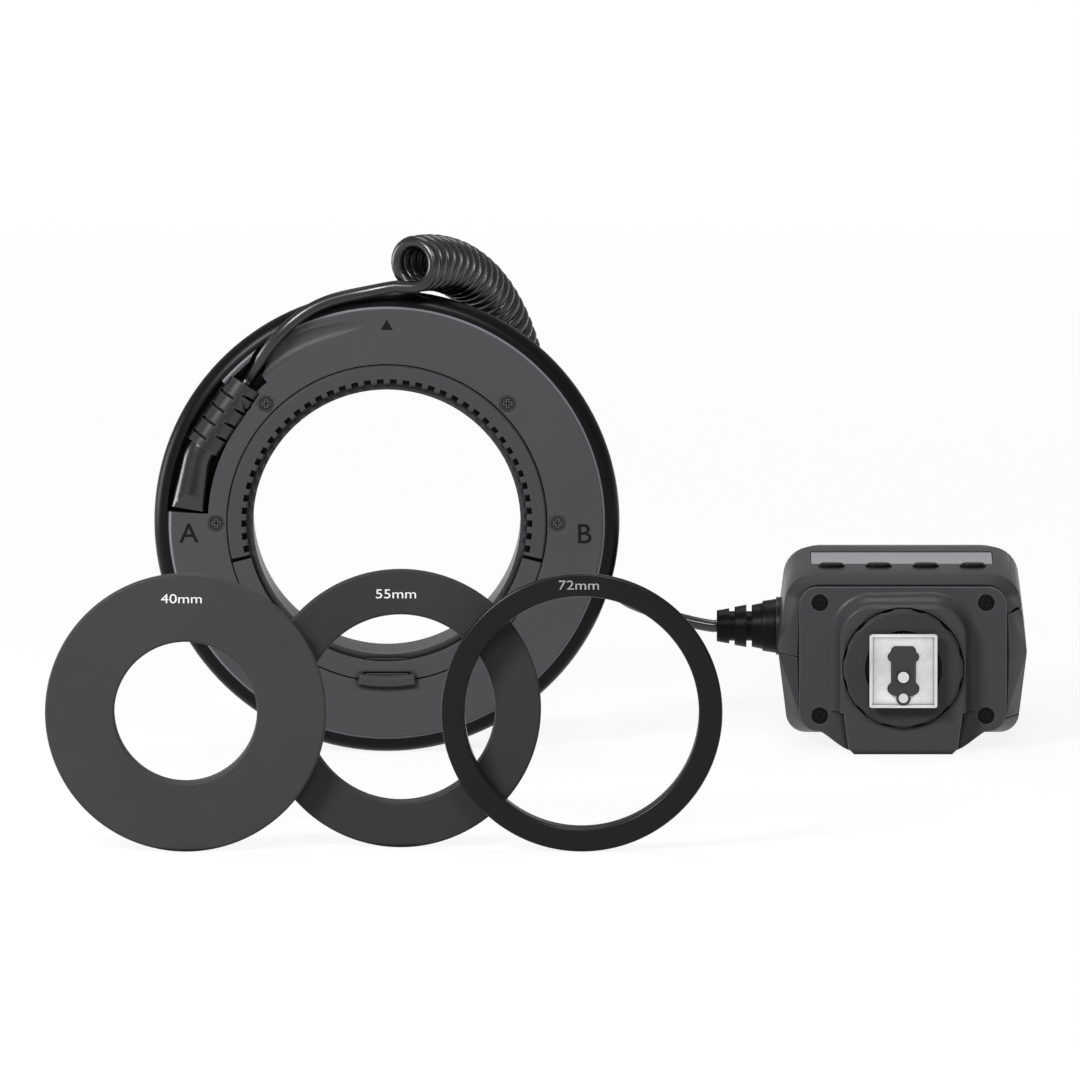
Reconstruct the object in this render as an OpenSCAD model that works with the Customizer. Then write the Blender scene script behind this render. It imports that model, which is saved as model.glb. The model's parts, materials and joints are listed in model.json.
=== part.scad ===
// Macro ring flash: a ring head, its curly cord, the control unit and three lens adapters.
// X runs to the right, Y away from the viewer and Z up. The set stands on one flat surface.
// The origin is on the lens axis, at the face that an adapter seats on.

/* [Ring head] */
// Outer diameter of the casing
ring_d = 128; // [124:1:134]
// Diameter of the opening for the lens
opening_d = 73.5; // [71:0.5:74.5]
// Depth from the back plate to the front face
ring_depth = 24; // [23:0.5:28]
// Wall of the casing
ring_wall = 2; // [1.6:0.1:2.4]
// Taper of the casing towards its front
ring_taper = 3; // [2:0.1:3.5]
// Width of the rim round the back plate
rim_w = 4; // [3:0.25:5]
// Thickness of the back plate
plate_t = 2.6; // [2.2:0.1:3]
// Width of the lip that an adapter seats on
lip_w = 1.75; // [1.5:0.05:2]
// Width of the toothed clip round the opening
clip_w = 5.4; // [5:0.1:5.8]
// Angle that the toothed clip spans
clip_span = 206; // [190:1:220]
// Number of notches in the clip
clip_notches = 40; // [20:1:44]
// Diameter of the ring screws' heads
ring_screw_d = 4.3; // [3.6:0.1:4.6]
// Number of ridges across a diffuser
ridges = 12; // [6:1:16]
// Diameter of the flash tubes
tube_d = 4.6; // [4:0.1:5.4]

/* [Release tab] */
// Width of the finger bar
tab_w = 16.2; // [14.5:0.2:20]
// Height of the finger bar, across the opening's edge
tab_h = 3; // [2.4:0.1:3.6]
// Travel of the tab
tab_travel = 1.5; // [1:0.1:1.8]

/* [Cord] */
// Diameter of the cord
cord_d = 3.4; // [2.6:0.1:3.5]
// Outer diameter of the curls
curl_d = 15.8; // [14:0.2:16]
// Number of curls
curls = 22; // [16:1:26]
// Diameter of the strain relief sleeve at the ring
sleeve_d = 10.8; // [9.6:0.1:11.2]
// Length of that sleeve
sleeve_l = 21; // [19:0.5:22]

/* [Control unit] */
// Width across the seam
unit_w = 68.5; // [66:0.5:76]
// Height from the surface to the control panel
unit_h = 47.5; // [46:0.5:54]
// Length from the base cover to the far end
unit_l = 84; // [82:1:100]
// Wall of the two shells
unit_wall = 2; // [1.6:0.1:2.4]
// Width of the base cover
base_w = 57; // [54:0.5:58]
// Height of the base cover
base_h = 40; // [38:0.5:41]
// Width of the display window
display_w = 50; // [40:0.5:51]
// Length of the display window
display_l = 24; // [18:0.5:27]
// Width of a button
button_w = 7; // [5.5:0.1:9]
// Travel of a button
button_travel = 0.8; // [0.4:0.1:1]
// Length of the battery door
door_l = 57; // [50:0.5:58]
// Diameter of a battery
cell_d = 14.3; // [13.5:0.1:14.5]
// Length of a battery
cell_l = 49.2; // [44:0.1:50]

/* [Hot shoe foot] */
// Width of the foot plate
foot_w = 18.6; // [18.3:0.05:18.75]
// Length of the foot plate
foot_l = 20.4; // [19.8:0.1:22]
// Thickness of the foot plate
foot_t = 2; // [1.7:0.05:2.1]
// Gap between the foot plate and the lock wheel
foot_gap = 2.2; // [2:0.05:2.6]
// Diameter of the lock wheel
wheel_d = 33; // [30:0.5:33.5]
// Thickness of the lock wheel
wheel_t = 5.6; // [4.6:0.1:6.4]
// Diameter of the lock pin
pin_d = 2.6; // [2:0.05:2.8]
// Travel of the lock pin
pin_travel = 1.5; // [1:0.1:2]

/* [Lens adapters] */
// Thickness of an adapter's flange
adapter_t = 2; // [1.6:0.1:2.6]
// Length of an adapter's thread
thread_l = 4.5; // [3:0.1:5]
// Hole of the small adapter
small_hole = 38.5; // [34:0.25:39]
// Thread of the small adapter
small_thread = 40.5; // [40:0.25:44]
// Hole of the medium adapter
medium_hole = 51.2; // [46:0.25:53]
// Thread of the medium adapter
medium_thread = 55; // [54:0.25:58]
// Hole of the large adapter
large_hole = 63.2; // [58:0.25:69]
// Thread of the large adapter
large_thread = 72; // [70:0.25:72.5]

/* [Clearances] */
// Gap between fixed pieces that lie in each other
fit = 0.2; // [0.1:0.05:0.3]
// Gap round pieces that slide or swing
slide_gap = 0.3; // [0.2:0.05:0.4]
// Radial gap of a shaft in its bore
running = 0.05; // [0.02:0.01:0.1]

/* [Hidden] */
$fn = 72;
// A cut runs this far past the face that it opens
past = 1;

// Ring head, drawn facing up: x right, y up, z from the seat towards the lens
ring_r = ring_d / 2;
opening_r = opening_d / 2;
front_z = plate_t - ring_depth;
front_r = ring_r - ring_taper;
plate_r = ring_r - rim_w;
plate_bevel = 0.8;
clip_in = opening_r + lip_w;
clip_out = clip_in + clip_w;
clip_rise = 0.4;
clip_chamfer = 0.5;
clip_from = 90 - clip_span / 2;
notch_w = 1.9;
notch_depth = 1.5;
plate_in = clip_out + slide_gap;
screw_recess_d = ring_screw_d + 2 * fit;
screw_recess_depth = 1.3;
screw_shank_d = 2.2;
screw_l = 6;
screw_r = plate_in + screw_recess_d / 2 + 0.4;
screw_angles = [0, 45, 135, 180, 225, 315];
boss_d = screw_shank_d + 2.6;
boss_l = screw_l + 1;
shelf_r = plate_in + 1.8;
shelf_t = 2;
tube_wall = 1.6;
nose_r = 3;
edge = 0.8;
rim_top = plate_t - 1;
rim_drop = 2.5;
ledge_w = 1.5;
bridge = 8;
window_in = opening_r + tube_wall + 2;
window_out = front_r - 4;
flange_w = 1;
window_mid = (window_in + window_out) / 2;
flange_t = 1.2;
flange_back = front_z + ring_wall + flange_t;
reflector_back = -10.8;
reflector_t = 0.6;
reflector_lean = 3.2;
tube_z = reflector_back - reflector_t - tube_d / 2 - 1.2;
tube_end = bridge + 3;
holder_span = 4;
holder_half = 3.4;
holder_floor = 1;
lamp_d = 5;
lamp_l = 8;
board_t = 1.6;
board_in = screw_r + boss_d / 2 + 1.6;
board_out = plate_r - ledge_w - 0.5;

// Pocket of the cable boot and the scooped channel of the cord
boot_z = -0.6;
boot_d = 8.8;
boot_neck = 0.5;
boot_elbow = 12;
boot_l = 12.2;
boot_end_d = 10.4;
boot_bend = 24;
boot_slope = 22;
sleeve_r = plate_r - 6.4;
sleeve_angle = 146.3;
sleeve_rows = 4;
slot_w = 0.9;
slot_l = 5.6;
slot_depth = 2.2;
pocket_in = screw_r + screw_recess_d / 2 - 0.1;
// Way out of the pocket for the cord
exit_in = pocket_in + 1.8;
exit_out = plate_r - 1.4;
exit_floor = -3.4;
exit_from = 130;
pocket_floor = boot_z - sleeve_d / 2 - slide_gap;
pocket_from = 139;
pocket_to = 177;
scoop_from = 95;
scoop_r = plate_r - 4.6;
scoop_w = 3.1;
scoop_depth = 2.3;
cord_room = 1.8;
scoop_half = (exit_from - scoop_from) / 2;
scoop_mid = (exit_from + scoop_from) / 2;
scoop_tilt = asin(scoop_depth / (2 * scoop_r * sin(scoop_half)));

// Release tab
tab_foot_w = tab_w - 4.2;
tab_foot_t = 0.9;
tab_lift = 0.15;
tab_stem_out = plate_in - 1;
tab_stem_in = tab_stem_out - 1.6;
tab_tongue = clip_in - 0.8;
tab_top = plate_t + slide_gap;
tab_rise = 1.9;
tab_room = tab_stem_out + tab_travel + slide_gap;
tab_out = tab_room + 0.4;
tab_edge = 0.4;

// Control unit: x across, y up from the surface, z from the base plane towards the shoe foot
unit_x = 142;
unit_y = 5;
floor_y = -ring_r;
top_r = 8;
low_r = 5.5;
seam_h = 26;
seam_gap = 0.3;
flare_l = 9;
taper_l = 20;
tip_l = 6;
top_draft = 1.7;
low_draft = 2.1;
base_t = 2.4;
base_drop = 2;
base_low = unit_h - base_drop - base_h;
base_y = base_low + base_h / 2;
base_corner = 5;
base_margin = 0.7;
base_step = 0.5;
// Sections of the body: z, inset of the sides, lower and upper edge, drafts above and below the seam,
// and the radius above the seam; the first one frames the base cover
unit_sections = [
  [
    0, (unit_w - base_w) / 2 - base_margin, base_low - base_step, base_low + base_h + base_step, 0.6, 0.6,
    low_r
  ],
  [-flare_l, 0, 3.6, unit_h, top_draft, low_draft, top_r],
  [taper_l - unit_l, 0, 0, unit_h, top_draft, low_draft, top_r],
  [tip_l - unit_l, 1.25, 2.5, unit_h - 1.5, 2.5, 3.5, top_r],
  [-unit_l, 5.75, 7, unit_h - 5, 2.5, 3.5, top_r]
];
base_screw_d = 4.4;
base_screw_at = [base_w / 2 - 5.6, base_h / 2 - 4.3];
base_boss_d = 6;
base_boss_l = 8;
boss_rib_t = 1.6;
// Pedestal of the foot: half width of its face, its upper corners, its depth and its cove
arch_half = wheel_d / 2 + 0.9;
arch_corner = 9;
arch_z = 9;
arch_cove = 3.2;
arch_round = 1;
// Chin of the pedestal and the skirt beside it
chin_half = 15;
chin_rise = 12;
chin_round = 1.5;
skirt_half = 25.5;
skirt_h = 6.3;
shoe_drop = 23.5;
shoe_y = unit_h - shoe_drop;
arch_low = shoe_y + arch_half - arch_corner;
// The skirt sinks from the base cover's lower edge to the chin
skirt_side = [for (t = [0 : 0.125 : 1]) [
  -skirt_half + (skirt_half - chin_half + chin_round) * t, skirt_h * (1 - 3 * t * t + 2 * t * t * t)
]];
skirt = concat(
  [[-skirt_half, base_low + base_corner], for (p = skirt_side) p],
  [for (i = [len(skirt_side) - 1 : -1 : 0]) [-skirt_side[i][0], skirt_side[i][1]]],
  [[skirt_half, base_low + base_corner]]
);
recess_z = 5;
wheel_r = wheel_d / 2;
wheel_z = recess_z + fit;
wheel_web = 1.8;
wheel_hole = 10.6;
stem_r = 7.5;
facets = 12;
facet_r = 8;
facet_depth = 0.4;
foot_z = wheel_z + wheel_t + foot_gap;
foot_corner = 0.6;
foot_rim = 0.8;
foot_rim_h = 0.4;
foot_floor = foot_z + foot_t - foot_rim_h;
insert_w = 6.5;
insert_l = 13.4;
insert_corner = 1.2;
insert_rise = 0.3;
// Bulges of the insulator: place to the side and up, and radius
insert_bulges = [[2.85, 3.9, 1.3], [2.6, -4.9, 1.6]];
insert_tip = 0.5;
contact_y = -1.7;
contact_d = 3.1;
pin_y = 2.6 - foot_l / 2;
pin_foot = wheel_z + wheel_web + slide_gap;

// Control panel and what lies under it
under_top = unit_h - unit_wall;
display_z = -42;
pane_t = 1.1;
pane_drop = 0.2;
pane_ledge = 2;
module_t = 3.4;
button_d = 4.6;
button_z = display_z + display_l / 2 + 5.5;
button_pitch = 13;
button_rise = 0.9;
button_flange = 0.7;
button_flange_t = 1.2;
panel_board_w = 54;
board_inset = 14;
panel_board_near = -board_inset;
panel_board_far = board_inset - unit_l;
post_in = 4;
post_root = 0.5;
post_d = 4.4;
post_x = panel_board_w / 2 - 3;
pad_w = 7;
pad_share = 0.4;
dome_d = 4;
dome_top = under_top - button_flange_t - button_travel - slide_gap;

// Cord gland of the control unit
gland_y = 27;
gland_z = -52;
gland_face = unit_w / 2 + 0.35;
gland_boss_d = 16;
gland_hole_d = 8.6;
gland_l = 16.4;
// Rib spans of the strain relief from its thin end, as shares of its length, and their diameters
gland_ribs = [[0, 0.21, 9.8], [0.3, 0.5, 11.8], [0.59, 0.77, 12.8], [0.77, 1, 15]];
gland_neck_d = 5;
gland_lean = 1.2;

// Battery bay
door_t = 1.8;
door_low = 8.8;
door_near = -slide_gap;
door_far = door_near - door_l;
hinge_share = 0.71;
hinge_depth = 1.65;
knuckle_r = 1.6;
hinge_pin_r = 0.8;
hinge_over = 1.3;
hinge_swing = 0.75;
lug_w = 3;
lug_in = 14;
lug_root = 3.2;
lug_side = 1.2;
seam_x = unit_w / 2 - top_r;
side_rise = unit_h - top_r - seam_h;
side_n = [side_rise, top_draft] / norm([side_rise, top_draft]);
hinge_at = [seam_x - hinge_share * top_draft, seam_h + hinge_share * side_rise]
  + (top_r - hinge_depth) * side_n;
lug_near = door_near - lug_in;
lug_far = door_far + lug_in - lug_w;
cell_pitch = cell_d + 0.2;
cell_x = [0.35 + cell_d / 2, 0.35 + cell_d / 2 + cell_pitch];
cell_low = 7 + cell_d / 2;
cell_y = [cell_low, cell_low + cell_pitch];
cell_near = -14.9;
contact_t = 0.5;
tray_t = 1;
tray_low = cell_low - cell_d / 2 - tray_t - 0.1;
tray_high = cell_y[1] + cell_d / 2 + fit;
panel_board_y = tray_high + slide_gap;
tray_left = cell_x[0] - cell_d / 2 - fit - tray_t;
tray_right = cell_x[1] + 4.5;
rib_t = 2;
rib_z = [-24, -56];
capacitor_d = 22;
capacitor_l = 46;
capacitor_at = [-16.5, 20];
capacitor_near = -16;

// Lens adapters: centre to the right, and the place of the flange's face in front of the ring
adapter_r = clip_in - 0.5;
adapter_bevel = 0.5;
small_at = [-53.6, 186];
medium_at = [4.4, 178];
large_at = [53.4, 186];

// Route of the cord, in the frame of the whole set
sleeve_dir = [sin(sleeve_angle), 0, -cos(sleeve_angle)];
sleeve_end = [
  sleeve_r * cos(sleeve_angle) + sleeve_l / 2 * sin(sleeve_angle),
  -boot_z,
  sleeve_r * sin(sleeve_angle) - sleeve_l / 2 * cos(sleeve_angle)
];
gland_end = [unit_x - gland_face - gland_l, unit_y - gland_z, floor_y + gland_y];
ring_route = [
  [-35, -1.7, 45], [-31.3, -4.6, 51], [-26, -5, 56.6], [-20, -4.4, 60.7], [-13, -3.9, 63.3], [-5, -4.3, 64.2]
];
control_route = [
  [49.5, 57, 22], [54, 57.4, 13], [55.8, 57.6, 1], [56.4, 57.4, -11.5], [58.3, 57.2, -22.5], [63, 57, -29.4],
  [70.5, 57, -32], [80, 57, -35]
];
// The curls wind round an arc: its start, heading, length, radius and the lean of its plane
curl_from = [7, -8, 72.4];
curl_heading = 63.5;
curl_l = 94;
curl_bend = 88;
curl_lean = 6;
curl_r = (curl_d - cord_d) / 2;
curl_steps = 8;
curl_end = 0.074;
curl_ahead = [cos(curl_heading), sin(curl_heading), 0];
curl_side = [-sin(curl_heading), cos(curl_heading), 0];
curl_down = sin(curl_lean) * curl_side - [0, 0, cos(curl_lean)];

function unit(v) = v / norm(v);

// Point and direction of the arc, where s runs from 0 to 1
function turned(s) = s * curl_l / curl_bend * 180 / PI;
function axis_at(s) =
  curl_from + curl_bend * (sin(turned(s)) * curl_ahead + (1 - cos(turned(s))) * curl_down);
function axis_dir(s) = cos(turned(s)) * curl_ahead + sin(turned(s)) * curl_down;

// A curl's place and its direction away from the axis, where s runs from 0 to 1
function curl_out(s) =
  let (
    t = axis_dir(s),
    n = unit(curl_side - (curl_side * t) * t),
    a = 90 + 360 * (curls + curl_end) * s
  )
  cos(a) * n - sin(a) * cross(t, n);
function curl_at(s) = axis_at(s) + curl_r * curl_out(s);
curl_start_dir = unit(curl_at(0.0001) - curl_at(0));
curl_end_dir = unit(curl_at(1) - curl_at(0.9999));
curl_start = curl_at(0) - cord_d * curl_start_dir;
curl_finish = curl_at(1) + cord_d * curl_end_dir;
curl_count = round((curls + curl_end) * curl_steps);
curl_shares = [for (i = [0 : curl_count]) i / curl_count];
curl_path = concat([curl_start], [for (s = curl_shares) curl_at(s)], [curl_finish]);
curl_sides = concat([curl_out(0)], [for (s = curl_shares) curl_out(s)], [curl_out(1)]);
ring_path = concat(
  [sleeve_end, sleeve_end + cord_d * sleeve_dir], ring_route,
  [curl_start - cord_d * curl_start_dir, curl_start]
);
control_path = concat(
  [curl_finish, curl_finish + cord_d * curl_end_dir], control_route, [gland_end - [cord_d, 0, 0], gland_end]
);

// Least gap of the curly cord to itself, on points twice as close as its rings
gap_points = [for (i = [0 : 2 * curl_count]) curl_at(i / (2 * curl_count))];
curl_gap = min([
  for (i = [0 : len(gap_points) - 1], j = [i + curl_steps : 1 : len(gap_points) - 1])
    norm(gap_points[i] - gap_points[j])
]) - cord_d;
echo(str("least gap of the curly cord to itself, mm: ", curl_gap));

// Corners of a tube's rings, square to its path
function ring_dir(p, i) = unit(p[min(i + 1, len(p) - 1)] - p[max(i - 1, 0)]);
function ring_points(p, side, d, sides) = [
  for (i = [0 : len(p) - 1])
    let (t = ring_dir(p, i), n = unit(side[i] - (side[i] * t) * t), b = cross(t, n))
      for (k = [0 : sides - 1]) p[i] + d / 2 * (cos(360 * k / sides) * n + sin(360 * k / sides) * b)
];
function tube_faces(rings, sides) = concat(
  [for (k = [1 : sides - 2]) [0, k, k + 1]],
  [
    for (i = [0 : rings - 2], k = [0 : sides - 1], half = [0, 1])
      let (a = i * sides + k, b = i * sides + (k + 1) % sides)
        half == 0 ? [a, a + sides, b + sides] : [a, b + sides, b]
  ],
  [for (k = [1 : sides - 2]) let (e = (rings - 1) * sides) [e, e + k + 1, e + k]]
);
module tube(p, side, d, sides)
  polyhedron(points = ring_points(p, side, d, sides), faces = tube_faces(len(p), sides));
module plain_tube(p) tube(p, [for (q = p) [0, 1, 0]], cord_d, 8);

// Places and shapes that several pieces share
module upright() rotate([90, 0, 0]) children();
module on_ring(a, r) rotate([0, 0, a]) translate([r, 0, 0]) children();
module band(r_in, r_out, z_low, z_high, from, span)
  rotate([0, 0, from]) rotate_extrude(angle = span) translate([r_in, z_low])
    square([r_out - r_in, z_high - z_low]);
module on_unit() upright() translate([unit_x, floor_y, -unit_y]) children();
module rounded_rect(w, h, r) {
  square([w - 2 * r, h], center = true);
  square([w, h - 2 * r], center = true);
  for (sx = [-1, 1], sy = [-1, 1]) translate([sx * (w / 2 - r), sy * (h / 2 - r)]) circle(r);
}
module stadium(w, d, t) rotate([-90, 0, 0]) linear_extrude(t) {
  square([w - d, d], center = true);
  for (s = [-1, 1]) translate([s * (w - d) / 2, 0]) circle(d = d);
}
module along_y(d, h) rotate([-90, 0, 0]) cylinder(d = d, h = h);
module rod(a, b, d) let (v = b - a, h = norm(v))
  translate(a) rotate([0, acos(v[2] / h), atan2(v[1], v[0])]) cylinder(d = d, h = h + d / 4);
// A point of the whole set, as the ring is drawn
function on_face(p) = [p[0], p[2], -p[1]];

// Section of the casing, as radius and z
module casing_section() polygon(concat(
  [[opening_r, 0], [opening_r, front_z + edge], [opening_r + edge, front_z]],
  [for (a = [0 : 15 : 90]) [front_r - nose_r + nose_r * sin(a), front_z + nose_r - nose_r * cos(a)]],
  [
    for (a = [0 : 15 : 90])
      [plate_r + fit + (rim_w - fit) * cos(a), -rim_drop + (rim_top + rim_drop) * sin(a)]
  ],
  [
    [plate_r + fit, 0], [plate_r - ledge_w, 0], [plate_r - ledge_w, -ledge_w],
    [ring_r - ring_wall, -rim_drop - ledge_w]
  ],
  [
    for (a = [90 : -15 : 0])
      [
        front_r - nose_r + (nose_r - ring_wall) * sin(a),
        front_z + nose_r - (nose_r - ring_wall) * cos(a)
      ]
  ],
  [
    [opening_r + tube_wall, front_z + ring_wall], [opening_r + tube_wall, -shelf_t],
    [shelf_r, -shelf_t], [shelf_r, 0]
  ]
));

// Cable boot and sleeve, placed on the ring
module at_sleeve() on_ring(sleeve_angle, sleeve_r) translate([0, 0, boot_z]) children();
module at_elbow() at_sleeve() translate([-boot_elbow, sleeve_l / 2 + boot_neck, 0]) children();
module at_boot_end()
  at_elbow() rotate([0, 0, boot_bend]) translate([boot_elbow, boot_l, 0]) children();
module sleeve_bar(d) at_sleeve() translate([0, -sleeve_l / 2, 0]) along_y(d, sleeve_l);
module boot_bar() {
  at_sleeve() translate([0, sleeve_l / 2, 0]) along_y(boot_d, boot_neck);
  at_elbow() rotate_extrude(angle = boot_bend) translate([boot_elbow, 0]) circle(d = boot_d);
  at_boot_end() translate([0, -boot_l, 0]) rotate([-90, 0, 0])
    cylinder(d1 = boot_d, d2 = boot_end_d, h = boot_l);
}
module pocket(r_out) {
  band(pocket_in, r_out, pocket_floor, ring_depth, pocket_from, pocket_to - pocket_from);
  band(exit_in, exit_out, exit_floor, ring_depth, exit_from, pocket_from - exit_from + 2);
}
module scoop() intersection() {
  translate([0, 0, plate_t + scoop_w - scoop_depth / 2])
    rotate(a = -scoop_tilt, v = [-sin(scoop_mid - 90), cos(scoop_mid - 90), 0])
      rotate_extrude() translate([scoop_r, 0]) circle(scoop_w);
  band(scoop_r - 2 * scoop_w, ring_r, pocket_floor, ring_depth, scoop_from - 3, 2 * scoop_half + 5);
}
module boot_room() {
  sleeve_bar(sleeve_d + 2 * fit);
  rod(on_face(sleeve_end), on_face(ring_route[1]), cord_d + cord_room);
}

module ring_casing() color("#17171a") upright() difference() {
  union() {
    rotate_extrude() casing_section();
    for (a = screw_angles) on_ring(a, screw_r) translate([0, 0, -boss_l]) cylinder(d = boss_d, h = boss_l);
    band(
      shelf_r - ring_wall / 2, ring_r - 0.8 * ring_wall, pocket_floor - ring_wall, 0, scoop_mid,
      pocket_to - scoop_mid + 2
    );
  }
  pocket(plate_r + 3 * fit);
  boot_room();
  for (a = screw_angles) on_ring(a, screw_r) translate([0, 0, -screw_l])
    cylinder(d = screw_shank_d + 2 * fit, h = screw_l + past);
  for (a = [-90, 90]) {
    band(window_in, window_out, front_z - past, front_z + ring_wall + past, a + bridge, 180 - 2 * bridge);
    on_ring(a, window_mid) translate([0, 0, front_z - past])
      cylinder(d = lamp_d + 2 * fit, h = ring_wall + 2 * past);
  }
}

module back_plate() color("#4d4d50") upright() difference() {
  rotate_extrude() polygon([
    [plate_in, 0], [plate_r, 0], [plate_r, plate_t - plate_bevel], [plate_r - plate_bevel, plate_t],
    [plate_in, plate_t]
  ]);
  pocket(ring_r);
  scoop();
  boot_room();
  for (a = screw_angles) on_ring(a, screw_r) {
    translate([0, 0, -past]) cylinder(d = screw_shank_d + 2 * fit, h = plate_t + 2 * past);
    translate([0, 0, plate_t - screw_recess_depth]) cylinder(d = screw_recess_d, h = 2 * plate_t);
  }
  translate([-tab_foot_w / 2 - slide_gap, -tab_room, -past])
    cube([tab_foot_w + 2 * slide_gap, tab_room - clip_in, plate_t + 2 * past]);
}

module lens_clip() color("#58585b") upright() difference() {
  rotate([0, 0, clip_from]) rotate_extrude(angle = clip_span) polygon([
    [clip_in, 0], [clip_out, 0], [clip_out, plate_t + clip_rise - clip_chamfer],
    [clip_out - clip_chamfer, plate_t + clip_rise], [clip_in + clip_chamfer, plate_t + clip_rise],
    [clip_in, plate_t + clip_rise - clip_chamfer]
  ]);
  for (i = [0 : clip_notches - 1])
    on_ring(clip_from + (i + 0.5) * clip_span / clip_notches, clip_in - past)
      translate([0, -notch_w / 2, -past]) cube([notch_depth + past, notch_w, plate_t + 3 * past]);
}

module seat_cover() color("#4a4a4d") upright() difference() {
  band(clip_in, clip_out, 0, plate_t - fit, clip_from + clip_span + 1.5, 360 - clip_span - 3);
  translate([-tab_foot_w / 2 - slide_gap, -tab_room, -past])
    cube([tab_foot_w + 2 * slide_gap, tab_room - tab_tongue + past, past + tab_lift + tab_foot_t + fit]);
  translate([-tab_foot_w / 2 - slide_gap, -tab_room, -past])
    cube([tab_foot_w + 2 * slide_gap, tab_room - tab_stem_in + slide_gap, plate_t + 2 * past]);
}

module release_tab() color("#505053") upright() {
  translate([-tab_foot_w / 2, -tab_stem_out, tab_lift])
    cube([tab_foot_w, tab_stem_out - tab_tongue, tab_foot_t]);
  translate([-tab_foot_w / 2, -tab_stem_out, tab_lift])
    cube([tab_foot_w, tab_stem_out - tab_stem_in, tab_top - tab_lift]);
  tab_bar(0, tab_rise / 2);
  tab_bar(tab_edge, tab_rise);
}
// The finger bar follows the opening's edge
module tab_bar(inset, rise) let (half = asin((tab_w / 2 - inset) / tab_out))
  band(tab_out - tab_h + inset, tab_out - inset, tab_top, tab_top + rise, 270 - half, 2 * half);

// One half of the light: a is the angle of its middle
module diffuser(a) color("#e8e8e2") upright() {
  span = 180 - 2 * bridge;
  pitch = (window_out - window_in - 2 * fit) / ridges;
  rotate([0, 0, a - span / 2]) rotate_extrude(angle = span) polygon(concat(
    [[window_in + fit, front_z + ring_wall]],
    [
      for (i = [0 : ridges - 1], part = [0, 1])
        [window_in + fit + (i + part / 2) * pitch, front_z + edge * (1 - part)]
    ],
    [[window_out - fit, front_z + edge], [window_out - fit, front_z + ring_wall]]
  ));
  band(window_in - flange_w, window_out + flange_w, front_z + ring_wall, flange_back, a - span / 2, span);
}
module diffuser_a() diffuser(180);
module diffuser_b() diffuser(0);

module reflector(a) color("#d5d7da") upright() {
  span = 180 - 2 * bridge - 2;
  r = [window_in + 0.8, window_out - 0.8];
  rotate([0, 0, a - span / 2]) rotate_extrude(angle = span) polygon([
    [r[0], flange_back], [r[0] + reflector_lean, reflector_back],
    [r[1] - reflector_lean, reflector_back], [r[1], flange_back], [r[1] - reflector_t, flange_back],
    [r[1] - reflector_lean - reflector_t, reflector_back - reflector_t],
    [r[0] + reflector_lean + reflector_t, reflector_back - reflector_t], [r[0] + reflector_t, flange_back]
  ]);
}
module reflector_a() reflector(180);
module reflector_b() reflector(0);

module flash_tube(a) color("#dfe8ee") upright()
  translate([0, 0, tube_z]) rotate([0, 0, a - 90 + tube_end]) rotate_extrude(angle = 180 - 2 * tube_end)
    translate([window_mid, 0]) circle(d = tube_d);
module flash_tube_a() flash_tube(180);
module flash_tube_b() flash_tube(0);

module tube_holders() color("#f0efe8") upright() difference() {
  for (a = [-90, 90], s = [0, 1])
    band(
      window_mid - holder_half, window_mid + holder_half, tube_z - tube_d / 2 - holder_floor,
      reflector_back - reflector_t,
      a + (s == 0 ? tube_end + 0.6 : 180 - tube_end - 0.6 - holder_span), holder_span
    );
  translate([0, 0, tube_z]) rotate_extrude() translate([window_mid, 0]) circle(d = tube_d + 2 * fit);
}

module focus_lamps() color("#f4f6f8") upright()
  for (a = [-90, 90]) on_ring(a, window_mid) {
    translate([0, 0, front_z + ring_wall]) cylinder(d = lamp_d + 1.4, h = flange_t);
    translate([0, 0, front_z]) rotate_extrude() polygon(concat(
      [[0, -lamp_d / 4 * cos(15)]],
      [for (q = [15 : 15 : 90]) [lamp_d / 2 * sin(q), -lamp_d / 4 * cos(q)]],
      [[lamp_d / 2, lamp_l], [0, lamp_l]]
    ));
  }

module ring_circuit_board() color("#1f5b38") upright() {
  band(board_in, board_out, -board_t, 0, 190, 250);
  for (a = [215, 250, 292, 330, 15, 50])
    on_ring(a, (board_in + board_out) / 2) translate([-2, -4, -board_t - 3]) cube([4, 8, 3]);
}

module ring_screws() color("#2b2b2d") upright()
  for (a = screw_angles) on_ring(a, screw_r) {
    translate([0, 0, plate_t - screw_recess_depth]) difference() {
      cylinder(d = ring_screw_d, h = 1.1);
      for (q = [0, 90]) rotate([0, 0, q + a]) translate([-1.1, -0.3, 0.5]) cube([2.2, 0.6, past]);
    }
    translate([0, 0, fit - screw_l])
      cylinder(d = screw_shank_d, h = screw_l - fit + plate_t - screw_recess_depth);
  }

// The boot's end slopes down to the back plate
module cable_boot() color("#1b1b1d") upright() difference() {
  boot_bar();
  at_boot_end() translate([-boot_end_d, 0, plate_t - boot_z]) rotate([-boot_slope, 0, 0])
    translate([0, -2 * boot_l, 0]) cube([2 * boot_end_d, 3 * boot_l, boot_end_d]);
}

module ring_strain_relief() color("#242427") upright() difference() {
  sleeve_bar(sleeve_d);
  for (i = [0 : sleeve_rows - 1], s = [0, 1])
    let (along = (i + 0.6 + s / 2) * sleeve_l / (sleeve_rows + 0.7) - sleeve_l / 2)
      at_sleeve() rotate([0, s == 0 ? -38 : 38, 0])
        translate([-slot_l / 2, along - slot_w / 2, sleeve_d / 2 - slot_depth])
          cube([slot_l, slot_w, sleeve_d]);
}

module cord_lead_ring() color("#1d1d1f") plain_tube(ring_path);
module cord_coil() color("#1d1d1f") tube(curl_path, curl_sides, cord_d, 6);
module cord_lead_control() color("#1d1d1f") plain_tube(control_path);

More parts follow.
